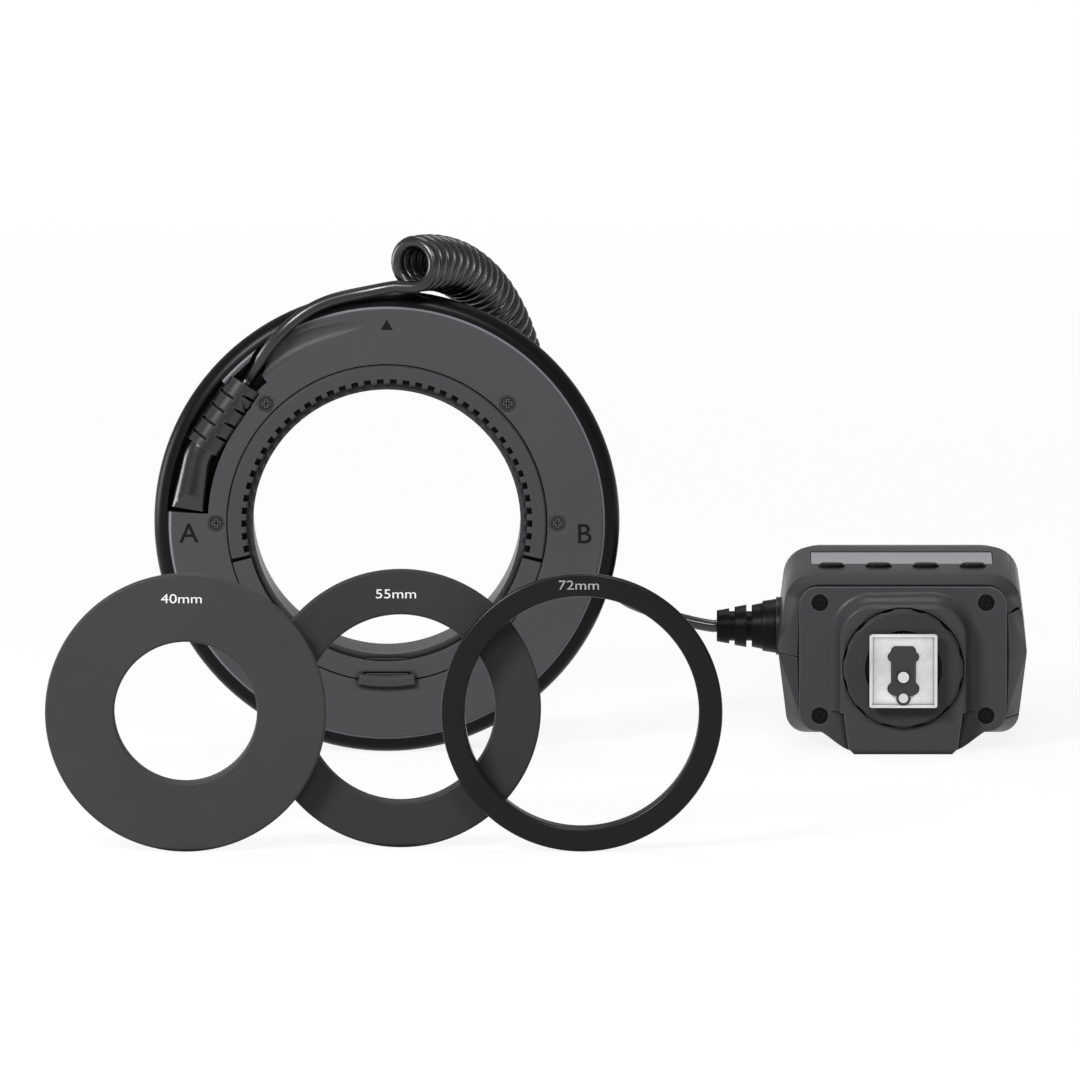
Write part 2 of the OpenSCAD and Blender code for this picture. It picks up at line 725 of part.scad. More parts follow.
// Strain relief of the control unit, with its neck through the shells
module control_strain_relief() color("#1d1d1f") on_unit()
  translate([-gland_face - gland_l, gland_y, gland_z]) rotate([0, 90, 0]) {
    cylinder(d = gland_neck_d, h = gland_l);
    for (r = gland_ribs) translate([0, 0, r[0] * gland_l])
      cylinder(d1 = r[2] - gland_lean, d2 = r[2], h = (r[1] - r[0]) * gland_l);
    cylinder(d = gland_hole_d - 2 * fit, h = gland_l + gland_face - unit_w / 2 + unit_wall + 2);
  }

// Body of the control unit, drawn in by inset; lead moves its two ends out
module unit_form(inset, lead) hull()
  for (i = [0 : len(unit_sections) - 1])
    let (
      s = unit_sections[i],
      half = unit_w / 2 - s[1],
      z = i == 0 ? lead - 0.01 : s[0] + (i == len(unit_sections) - 1 ? inset : 0)
    )
      for (m = [-1, 1], at = [
        [half - s[6], seam_h, s[6]], [half - s[6] - s[4], s[3] - s[6], s[6]],
        [half - low_r - s[5], s[2] + low_r, low_r]
      ])
        translate([m * at[0], at[1], z]) cylinder(r = at[2] - inset, h = 0.01, $fn = 32);
module unit_wall_form() difference() {
  unit_form(0, 0);
  unit_form(unit_wall, past);
}
module half_space(from, to)
  translate([-unit_w, from, -2 * unit_l]) cube([2 * unit_w, to - from, 3 * unit_l]);
module at_base_screws() for (sx = [-1, 1], sy = [-1, 1])
  translate([sx * base_screw_at[0], base_y + sy * base_screw_at[1], 0]) children();
module base_bosses() {
  at_base_screws() translate([0, 0, -base_boss_l]) cylinder(d = base_boss_d, h = base_boss_l);
  intersection() {
    unit_form(unit_wall / 2, 0);
    for (sx = [-1, 1], sy = [-1, 1])
      translate([sx * base_screw_at[0], base_y + sy * (base_screw_at[1] + unit_h / 2), -base_boss_l / 2])
        cube([boss_rib_t, unit_h, base_boss_l], center = true);
  }
}
module base_pilots() at_base_screws() translate([0, 0, -base_boss_l + past])
  cylinder(d = screw_shank_d + 2 * fit, h = base_boss_l);
module gland_boss() translate([-gland_face, gland_y, gland_z]) rotate([0, 90, 0])
  cylinder(d = gland_boss_d, h = gland_face - unit_w / 2 + unit_wall);
module gland_bore() translate([-gland_face - past, gland_y, gland_z]) rotate([0, 90, 0])
  cylinder(d = gland_hole_d, h = unit_wall + 4);
module on_hinge(z) translate([hinge_at[0], hinge_at[1], z]) children();
// Room of the door up to the hinge's axis and inside it, grown by more, and round it, grown by swing
module door_room(more, swing, near) let (far = door_far - more, l = near - far, w = 2 * top_r) {
  translate([seam_x - top_r / 2, door_low - more, far]) cube([w, hinge_at[1] - door_low + more, l]);
  on_hinge(far) translate([-w, -past, 0]) cube([w, hinge_over + more + past, l]);
  on_hinge(far) cylinder(r = knuckle_r + swing, h = l);
}

module panel_shell() color("#3b3b3f") on_unit() difference() {
  union() {
    intersection() {
      union() {
        difference() {
          unit_wall_form();
          door_room(slide_gap, hinge_swing, past);
        }
        base_bosses();
        gland_boss();
      }
      half_space(seam_h, 2 * unit_h);
    }
    for (sx = [-1, 1], z = [panel_board_near - post_in, panel_board_far + post_in])
      translate([sx * post_x, panel_board_y + board_t, z])
        along_y(post_d, under_top - panel_board_y - board_t + post_root);
    for (z = [lug_near - lug_w, lug_far]) on_hinge(z) {
      cylinder(r = knuckle_r, h = lug_w);
      translate([-knuckle_r, 0, 0]) cube([knuckle_r + lug_side, lug_root, lug_w]);
    }
  }
  base_pilots();
  gland_bore();
  on_hinge(lug_far - past) cylinder(r = hinge_pin_r + running, h = lug_near - lug_far + 2 * past);
  translate([0, unit_h - pane_t - pane_drop, display_z]) rotate([-90, 0, 0])
    linear_extrude(3 * unit_wall) square([display_w + 2 * fit, display_l + 2 * fit], center = true);
  translate([0, unit_h - 2 * unit_wall, display_z]) rotate([-90, 0, 0])
    linear_extrude(3 * unit_wall)
      square([display_w - 2 * pane_ledge, display_l - 2 * pane_ledge], center = true);
  for (i = [0 : 3])
    translate([(i - 1.5) * button_pitch, under_top - past, button_z])
      stadium(button_w + 2 * slide_gap, button_d + 2 * slide_gap, 3 * unit_wall);
}

// Cross rib that carries the battery tray and cradles the capacitor
module cross_rib(z) difference() {
  intersection() {
    unit_form(unit_wall / 2, past);
    translate([-unit_w, 0, z]) cube([2 * unit_w, capacitor_at[1], rib_t]);
  }
  translate([tray_left - slide_gap, tray_low, z - past]) cube([unit_w, unit_h, rib_t + 2 * past]);
  translate([capacitor_at[0], capacitor_at[1], z - past])
    cylinder(d = capacitor_d + 2 * fit, h = rib_t + 2 * past);
}

module lower_shell() color("#3b3b3f") on_unit() difference() {
  union() {
    intersection() {
      union() {
        difference() {
          unit_wall_form();
          door_room(slide_gap, hinge_swing, past);
        }
        base_bosses();
        gland_boss();
      }
      half_space(-unit_h, seam_h - seam_gap);
    }
    for (z = rib_z) cross_rib(z);
  }
  base_pilots();
  gland_bore();
}

// Base cover with the arched pedestal of the foot
module base_cover() color("#3a3a3e") on_unit() difference() {
  union() {
    linear_extrude(base_t) {
      translate([0, base_y]) rounded_rect(base_w, base_h, base_corner);
      polygon(skirt);
    }
    translate([0, arch_low, 0]) {
      for (s = [0, 1]) mirror([s, 0, 0]) translate([arch_half - arch_corner, 0, 0]) {
        rotate_extrude(angle = 90) arch_section();
        rotate([90, 0, 0]) linear_extrude(arch_low - base_low - chin_rise / 2) arch_section();
      }
      rotate([90, 0, 90]) linear_extrude(2 * (arch_half - arch_corner), center = true) arch_section();
    }
    linear_extrude(arch_z) polygon([
      [-chin_half + chin_round, 0], [chin_half - chin_round, 0], [chin_half, chin_round],
      [arch_half - arch_round, chin_rise], [arch_half - arch_round, arch_low],
      [arch_round - arch_half, arch_low], [arch_round - arch_half, chin_rise], [-chin_half, chin_round]
    ]);
  }
  translate([0, shoe_y, recess_z]) cylinder(r = wheel_r + slide_gap, h = arch_z);
  at_base_screws() {
    translate([0, 0, -past]) cylinder(d = screw_shank_d + 2 * fit, h = base_t + 2 * past);
    translate([0, 0, base_t - screw_recess_depth]) cylinder(d = base_screw_d + 2 * fit, h = base_t);
  }
}
// Half of the pedestal's section, with a cove down to the base cover
module arch_section() let (rise = arch_z - arch_round - base_t) polygon(concat(
  [[0, 0], [arch_corner + arch_cove, 0]],
  [for (a = [0 : 15 : 90]) [arch_corner + arch_cove * (1 - sin(a)), base_t + rise * (1 - cos(a))]],
  [for (a = [30 : 30 : 90]) [arch_corner - arch_round * (1 - cos(a)), arch_z - arch_round * (1 - sin(a))]],
  [[0, arch_z]]
));

module base_screws() color("#2b2b2d") on_unit() at_base_screws() {
  translate([0, 0, base_t - screw_recess_depth]) difference() {
    cylinder(d = base_screw_d, h = 1.1);
    for (q = [0, 90]) rotate([0, 0, q + 20]) translate([-1.2, -0.3, 0.5]) cube([2.4, 0.6, past]);
  }
  translate([0, 0, -base_boss_l + past + fit])
    cylinder(d = screw_shank_d, h = base_boss_l - past - fit + base_t - screw_recess_depth);
}

module display_window() color("#909093") on_unit()
  translate([0, unit_h - pane_t - pane_drop, display_z]) rotate([-90, 0, 0])
    linear_extrude(pane_t) square([display_w, display_l], center = true);

module display_module() color("#6d7470") on_unit()
  translate([0, unit_h - pane_t - pane_drop - module_t, display_z]) rotate([-90, 0, 0])
    linear_extrude(module_t)
      square([display_w - 2 * pane_ledge - 2 * fit, display_l - 2 * pane_ledge - 2 * fit], center = true);

// One button: its cap stands out of the panel, and its flange holds it in
module button(i) color("#2a2a2d") on_unit()
  translate([(i - 1.5) * button_pitch, under_top - button_flange_t, button_z]) {
    stadium(button_w, button_d, button_flange_t + unit_wall + button_rise - 0.4);
    stadium(button_w - 0.8, button_d - 0.8, button_flange_t + unit_wall + button_rise);
    stadium(button_w + 2 * button_flange, button_d + 2 * button_flange, button_flange_t);
  }
module button_1() button(0);
module button_2() button(1);
module button_3() button(2);
module button_4() button(3);

module button_pad() color("#c9c9c4") on_unit() {
  translate([-2 * button_pitch, panel_board_y + board_t, button_z - pad_w / 2])
    cube([4 * button_pitch, pad_share * (dome_top - panel_board_y - board_t), pad_w]);
  for (i = [0 : 3])
    translate([(i - 1.5) * button_pitch, panel_board_y + board_t, button_z])
      along_y(dome_d, dome_top - panel_board_y - board_t);
}

module main_circuit_board() color("#1f5b38") on_unit()
  translate([-panel_board_w / 2, panel_board_y, panel_board_far])
    cube([panel_board_w, board_t, panel_board_near - panel_board_far]);

module battery_door() color("#46464a") on_unit() difference() {
  intersection() {
    unit_form(0, 0);
    union() {
      difference() {
        door_room(0, 0, door_near);
        unit_form(door_t, past);
      }
      on_hinge(lug_far) cylinder(r = knuckle_r, h = lug_near - lug_far);
    }
  }
  on_hinge(lug_far - past) cylinder(r = hinge_pin_r + running, h = lug_near - lug_far + 2 * past);
  for (z = [lug_near - lug_w, lug_far]) on_hinge(z - slide_gap)
    translate([-2 * knuckle_r, -knuckle_r - slide_gap, 0])
      cube([4 * knuckle_r, 4 * knuckle_r, lug_w + 2 * slide_gap]);
}

module door_hinge_pin() color("#b9bbbe") on_unit()
  on_hinge(lug_far) cylinder(r = hinge_pin_r, h = lug_near - lug_far);

module at_cells(z) for (x = cell_x, y = cell_y) translate([x, y, z]) children();

module battery_tray() color("#2f2f31") on_unit()
  let (near = cell_near + contact_t, far = cell_near - cell_l - contact_t, l = near - far) {
    translate([tray_left, tray_low, far]) cube([tray_right - tray_left, tray_t, l]);
    translate([tray_left, tray_low, far]) cube([tray_t, tray_high - tray_low, l]);
    for (z = [near, far - tray_t])
      translate([tray_left, tray_low, z])
        cube([tray_right - tray_left, tray_high - tray_low, tray_t]);
  }

module batteries() color("#7f8a94") on_unit() at_cells(cell_near - cell_l) {
  cylinder(d = cell_d, h = cell_l - 1.2);
  cylinder(d = 5.5, h = cell_l);
}

module battery_contacts() color("#c8cacd") on_unit() {
  at_cells(cell_near) cylinder(d = 8, h = contact_t);
  at_cells(cell_near - cell_l - contact_t) cylinder(d = 8, h = contact_t);
}

module flash_capacitor() color("#22262b") on_unit()
  translate([capacitor_at[0], capacitor_at[1], capacitor_near - capacitor_l]) {
    cylinder(d = capacitor_d, h = capacitor_l);
    for (s = [-1, 1]) translate([s * 4, 0, 0]) cylinder(d = 1.2, h = capacitor_l + 3);
  }

// Outline of the insulator in the foot, grown by more
module insert_outline(more) {
  rounded_rect(insert_w + 2 * more, insert_l + 2 * more, insert_corner + more);
  for (b = insert_bulges, s = [-1, 1]) translate([s * b[0], b[1]]) circle(b[2] + more);
  translate([0, pin_y]) circle(pin_d / 2 + insert_tip + more);
}
module foot_block(w, l, r, h) linear_extrude(h) rounded_rect(w, l, r);

module shoe_foot() color("#c9cbce") on_unit() translate([0, shoe_y, 0]) difference() {
  union() {
    translate([0, 0, recess_z]) cylinder(r = stem_r, h = foot_z - recess_z);
    translate([0, 0, foot_z]) foot_block(foot_w, foot_l, foot_corner, foot_t);
  }
  translate([0, 0, foot_floor])
    foot_block(foot_w - 2 * foot_rim, foot_l - 2 * foot_rim, foot_corner / 2, foot_t);
  translate([0, 0, foot_z]) linear_extrude(2 * foot_t) insert_outline(fit);
  translate([0, pin_y, recess_z - past]) cylinder(d = pin_d + 2 * running, h = foot_z);
}

module shoe_insulator() color("#3f3f42") on_unit() translate([0, shoe_y, 0]) difference() {
  intersection() {
    translate([0, 0, foot_z]) linear_extrude(foot_floor - foot_z + insert_rise) insert_outline(0);
    translate([0, 0, foot_z - past]) foot_block(foot_w, foot_l, foot_corner, 3 * foot_t);
  }
  translate([0, contact_y, foot_z + foot_t / 3]) cylinder(d = contact_d + 2 * fit, h = foot_t);
  translate([0, pin_y, foot_z - past]) cylinder(d = pin_d + 2 * running, h = 2 * foot_t + past);
}

module shoe_contact() color("#d8d8d4") on_unit()
  translate([0, shoe_y + contact_y, foot_z + foot_t / 3])
    cylinder(d = contact_d, h = foot_floor + insert_rise + 0.4 - foot_z - foot_t / 3);

module lock_wheel() color("#2d2d30") on_unit() translate([0, shoe_y, 0]) difference() {
  rotate_extrude() polygon([
    [stem_r + running, wheel_z], [wheel_r, wheel_z], [wheel_r, wheel_z + wheel_t - 0.8],
    [wheel_r - 0.8, wheel_z + wheel_t], [wheel_hole, wheel_z + wheel_t], [wheel_hole, wheel_z + wheel_web],
    [stem_r + running, wheel_z + wheel_web]
  ]);
  for (i = [0 : facets - 1])
    on_ring((i + 0.5) * 360 / facets, wheel_r + facet_r - facet_depth) translate([0, 0, wheel_z - past])
      cylinder(r = facet_r, h = wheel_t + 2 * past);
}

module lock_pin() color("#d8d8d4") on_unit()
  translate([0, shoe_y + pin_y, pin_foot]) cylinder(d = pin_d, h = foot_floor - pin_foot);

// One adapter: a flat flange whose thread points away from the viewer
module adapter(at, hole, thread) upright()
  translate([at[0], floor_y + adapter_r, at[1] - adapter_t]) rotate_extrude() polygon([
    [hole / 2, -thread_l], [thread / 2, -thread_l], [thread / 2, 0], [adapter_r - adapter_bevel, 0],
    [adapter_r, adapter_bevel], [adapter_r, adapter_t - adapter_bevel],
    [adapter_r - adapter_bevel, adapter_t],
    [hole / 2 + adapter_bevel, adapter_t], [hole / 2, adapter_t - adapter_bevel]
  ]);
module adapter_small() color("#47474a") adapter(small_at, small_hole, small_thread);
module adapter_medium() color("#3a3a3c") adapter(medium_at, medium_hole, medium_thread);
module adapter_large() color("#222224") adapter(large_at, large_hole, large_thread);

ring_casing();
back_plate();
lens_clip();
seat_cover();
release_tab();
diffuser_a();
diffuser_b();
reflector_a();
reflector_b();
flash_tube_a();
flash_tube_b();
tube_holders();
focus_lamps();
ring_circuit_board();
ring_screws();
cable_boot();
ring_strain_relief();
cord_lead_ring();
cord_coil();
cord_lead_control();
control_strain_relief();
panel_shell();
lower_shell();
base_cover();
base_screws();
display_window();
display_module();
button_1();
button_2();
button_3();
button_4();
button_pad();
main_circuit_board();
battery_door();
door_hinge_pin();
battery_tray();
batteries();
battery_contacts();
flash_capacitor();
shoe_foot();
shoe_insulator();
shoe_contact();
lock_wheel();
lock_pin();
adapter_small();
adapter_medium();
adapter_large();
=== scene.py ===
"""Looks of a macro ring flash: ring head, curly cord, control unit and lens adapters."""

import json
import logging
import math
from dataclasses import dataclass
from enum import Enum
from typing import Callable, Sequence, Union

import bpy
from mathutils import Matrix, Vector

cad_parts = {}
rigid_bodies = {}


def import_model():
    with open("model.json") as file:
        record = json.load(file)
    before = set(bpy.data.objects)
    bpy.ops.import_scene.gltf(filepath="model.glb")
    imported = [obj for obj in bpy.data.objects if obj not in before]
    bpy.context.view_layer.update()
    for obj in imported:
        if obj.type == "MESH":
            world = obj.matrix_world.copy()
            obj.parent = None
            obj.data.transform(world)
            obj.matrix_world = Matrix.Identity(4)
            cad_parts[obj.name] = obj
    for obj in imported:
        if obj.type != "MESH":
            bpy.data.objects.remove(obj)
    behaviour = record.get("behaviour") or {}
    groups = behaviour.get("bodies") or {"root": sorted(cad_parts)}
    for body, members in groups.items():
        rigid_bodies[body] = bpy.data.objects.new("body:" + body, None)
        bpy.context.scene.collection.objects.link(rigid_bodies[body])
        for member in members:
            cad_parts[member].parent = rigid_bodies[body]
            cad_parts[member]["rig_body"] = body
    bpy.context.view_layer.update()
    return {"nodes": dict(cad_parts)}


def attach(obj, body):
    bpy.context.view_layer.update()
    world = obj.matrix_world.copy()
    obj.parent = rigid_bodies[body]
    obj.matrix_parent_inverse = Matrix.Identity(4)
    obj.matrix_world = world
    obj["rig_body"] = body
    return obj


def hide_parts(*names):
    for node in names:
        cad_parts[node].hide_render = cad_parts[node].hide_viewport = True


LOG = logging.getLogger("ring_flash")
MM = 0.001

Piece = bpy.types.Object
Tree = bpy.types.NodeTree
Node = bpy.types.Node
Socket = bpy.types.NodeSocket
Point = tuple[float, float, float]
Colour = tuple[float, float, float, float]
Value = Union[Socket, float, Colour]

# Thickness of a printed mark, in millimetres
PRINT_T = 0.03
# Height of a capital letter, as a share of the font's size
CAPITAL = 0.7


def linear(code: str, darker: float = 0.0) -> Colour:
    """Turns a colour code into the light values that a shader takes.

    Args:
        code: Six hexadecimal digits, two each for red, green and blue.
        darker: Share of the light that is taken away.

    Returns:
        Red, green, blue and an alpha of 1.
    """
    parts = [int(code[i:i + 2], 16) / 255 for i in (0, 2, 4)]
    light = [c / 12.92 if c <= 0.04045 else ((c + 0.055) / 1.055) ** 2.4 for c in parts]
    red, green, blue = (c * (1 - darker) for c in light)
    return (red, green, blue, 1.0)


def feed(tree: Tree, socket: Socket, value: Value) -> None:
    """Links an input to another node's output, or gives it a plain value.

    Args:
        tree: The nodes that both belong to.
        socket: The input.
        value: The output or the value.
    """
    if isinstance(value, bpy.types.NodeSocket):
        tree.links.new(value, socket)
    else:
        socket.default_value = value


def calc(tree: Tree, operation: str, *values: Value) -> Socket:
    """Adds a node that calculates.

    Args:
        tree: The nodes to add it to.
        operation: Blender's name of the operation.
        values: What it works on.

    Returns:
        The result's socket.
    """
    node = tree.nodes.new("ShaderNodeMath")
    node.operation = operation
    for socket, value in zip(node.inputs, values):
        feed(tree, socket, value)
    return node.outputs[0]


def ramp(tree: Tree, value: Socket, start: float = 0.0, end: float = 1.0,
         low: float = 0.0, high: float = 1.0) -> Socket:
    """Adds a node that maps one range of values onto another, and stays inside it.

    Args:
        tree: The nodes to add it to.
        value: What is mapped.
        start: The value that gives low.
        end: The value that gives high.
        low: First end of the new range.
        high: Second end of the new range.

    Returns:
        The result's socket.
    """
    node = tree.nodes.new("ShaderNodeMapRange")
    for name, number in (("From Min", start), ("From Max", end), ("To Min", low), ("To Max", high)):
        node.inputs[name].default_value = number
    tree.links.new(value, node.inputs["Value"])
    return node.outputs["Result"]


def blend(tree: Tree, share: Socket, first: Value, second: Value) -> Socket:
    """Adds a node that mixes two colours.

    Args:
        tree: The nodes to add it to.
        share: Share of the second colour.
        first: The first colour.
        second: The second colour.

    Returns:
        The mixed colour's socket.
    """
    node = tree.nodes.new("ShaderNodeMix")
    node.data_type = "RGBA"
    for name, value in (("Factor", share), ("A", first), ("B", second)):
        feed(tree, node.inputs[name], value)
    return node.outputs["Result"]


def noise(tree: Tree, where: Socket, scale: Socket, detail: float, rough: float = 0.5,
          one_way: bool = False) -> Socket:
    """Adds a noise.

    Args:
        tree: The nodes to add it to.
        where: The place that it is read at, or the distance if it runs one way.
        scale: Its fineness.
        detail: Number of finer layers.
        rough: Weight of the finer layers.
        one_way: True if it changes along a distance only.

    Returns:
        The noise's socket.
    """
    node = tree.nodes.new("ShaderNodeTexNoise")
    node.noise_dimensions = "1D" if one_way else "3D"
    node.inputs["Detail"].default_value = detail
    node.inputs["Roughness"].default_value = rough
    tree.links.new(where, node.inputs["W" if one_way else "Vector"])
    tree.links.new(scale, node.inputs["Scale"])
    return node.outputs["Fac"]


def place(tree: Tree) -> Socket:
    """Adds a node that gives the place on the object, and returns its socket."""
    return tree.nodes.new("ShaderNodeTexCoord").outputs["Object"]


def shared(tree: Tree, group: Tree) -> Node:
    """Adds a shared group of nodes to a material's nodes, and returns its node."""
    node = tree.nodes.new("ShaderNodeGroup")
    node.node_tree = group
    return node


class Shading:
    """Node groups that several finishes share, each built once."""

    # Cosine of a rounded normal's turn where the painted edge highlight begins, and where it is full
    EDGE_FROM, EDGE_FULL = 0.99, 0.8
    # Share of open room over a surface where the painted shade of a hollow is darkest, and where it ends
    HOLLOW_FULL, HOLLOW_END = 0.6, 0.95
    # How far a hollow is looked for, in millimetres
    HOLLOW_REACH = 1.6

    made: dict[str, Tree] = {}

    @classmethod
    def group(cls, name: str, inputs: Sequence[tuple[str, float]], outputs: Sequence[str],
              fill: Callable[[Tree, Node, Node], None]) -> Tree:
        """Builds a group of nodes with plain number sockets, or returns the one that exists.

        Args:
            name: The group's name.
            inputs: Names and usual values of its inputs.
            outputs: Names of its outputs.
            fill: Draws the nodes between the group's input and output nodes.

        Returns:
            The node group.
        """
        if name in cls.made:
            return cls.made[name]
        tree = bpy.data.node_groups.new(name, "ShaderNodeTree")
        for socket, value in inputs:
            made = tree.interface.new_socket(socket, in_out="INPUT", socket_type="NodeSocketFloat")
            made.default_value = value
        for socket in outputs:
            tree.interface.new_socket(socket, in_out="OUTPUT", socket_type="NodeSocketFloat")
        fill(tree, tree.nodes.new("NodeGroupInput"), tree.nodes.new("NodeGroupOutput"))
        cls.made[name] = tree
        return tree

    @classmethod
    def grain(cls) -> Tree:
        """Moulded grain: a height for a bump, and a faint cloudiness for colour and gloss."""

        def fill(tree: Tree, given: Node, out: Node) -> None:
            """Draws the fine noise of the height and the broad noise of the clouds."""
            where = place(tree)
            for socket, scale, detail in (("Height", "Grain scale", 3.0), ("Cloud", "Cloud scale", 4.0)):
                found = noise(tree, where, given.outputs[scale], detail, rough=0.6)
                tree.links.new(found, out.inputs[socket])

        sockets = [("Grain scale", 2500.0), ("Cloud scale", 30.0)]
        return cls.group("moulded_grain", sockets, ["Height", "Cloud"], fill)

    @classmethod
    def rings(cls) -> Tree:
        """Turning marks round an axis along Y: their height, and the distance from the axis."""

        def fill(tree: Tree, given: Node, out: Node) -> None:
            """Draws the distance from the axis and reads a noise along it."""
            split = tree.nodes.new("ShaderNodeSeparateXYZ")
            tree.links.new(place(tree), split.inputs[0])
            squares = []
            for axis in "XZ":
                off = calc(tree, "SUBTRACT", split.outputs[axis], given.outputs[f"Centre {axis}"])
                squares.append(calc(tree, "MULTIPLY", off, off))
            radius = calc(tree, "SQRT", calc(tree, "ADD", *squares))
            marks = noise(tree, radius, given.outputs["Fineness"], detail=3.0, one_way=True)
            tree.links.new(marks, out.inputs["Height"])
            tree.links.new(radius, out.inputs["Radius"])

        sockets = [("Centre X", 0.0), ("Centre Z", 0.0), ("Fineness", 2200.0)]
        return cls.group("turning_marks", sockets, ["Height", "Radius"], fill)

    @classmethod
    def brushing(cls) -> Tree:
        """Brush marks along X, as a height."""

        def fill(tree: Tree, given: Node, out: Node) -> None:
            """Draws a noise that is long in X and short across."""
            mapping = tree.nodes.new("ShaderNodeMapping")
            mapping.inputs["Scale"].default_value = (0.04, 1.0, 1.0)
            tree.links.new(place(tree), mapping.inputs["Vector"])
            marks = noise(tree, mapping.outputs[0], given.outputs["Fineness"], detail=4.0)
            tree.links.new(marks, out.inputs["Height"])

        return cls.group("brush_marks", [("Fineness", 3000.0)], ["Height"], fill)

    @classmethod
    def edges(cls) -> Tree:
        """Masks of the outer edges, which get a painted highlight that partly stands for rubbing, and of what lies
        outside narrow hollows, whose inside gets painted shade.
        """

        def fill(tree: Tree, given: Node, out: Node) -> None:
            """Draws how far a rounded normal turns away from the true one, and how open the place is."""
            rounded = tree.nodes.new("ShaderNodeBevel")
            rounded.samples = 6
            tree.links.new(given.outputs["Reach"], rounded.inputs["Radius"])
            turn = tree.nodes.new("ShaderNodeVectorMath")
            turn.operation = "DOT_PRODUCT"
            tree.links.new(rounded.outputs["Normal"], turn.inputs[0])
            tree.links.new(tree.nodes.new("ShaderNodeNewGeometry").outputs["Normal"], turn.inputs[1])
            edge = ramp(tree, turn.outputs["Value"], cls.EDGE_FROM, cls.EDGE_FULL)
            hollow = tree.nodes.new("ShaderNodeAmbientOcclusion")
            hollow.samples = 4
            hollow.inputs["Distance"].default_value = cls.HOLLOW_REACH * MM
            free = ramp(tree, hollow.outputs["AO"], cls.HOLLOW_FULL, cls.HOLLOW_END)
            tree.links.new(calc(tree, "MULTIPLY", edge, free), out.inputs["Outer"])
            tree.links.new(free, out.inputs["Open"])

        return cls.group("edge_painted_light", [("Reach", 0.0004)], ["Outer", "Open"], fill)


class Texture(Enum):
    """What gives a surface its fine relief."""

    GRAIN = "grain"
    TURNED = "turned"
    BRUSHED = "brushed"


# Materials that are built already, by name
MADE: dict[str, bpy.types.Material] = {}


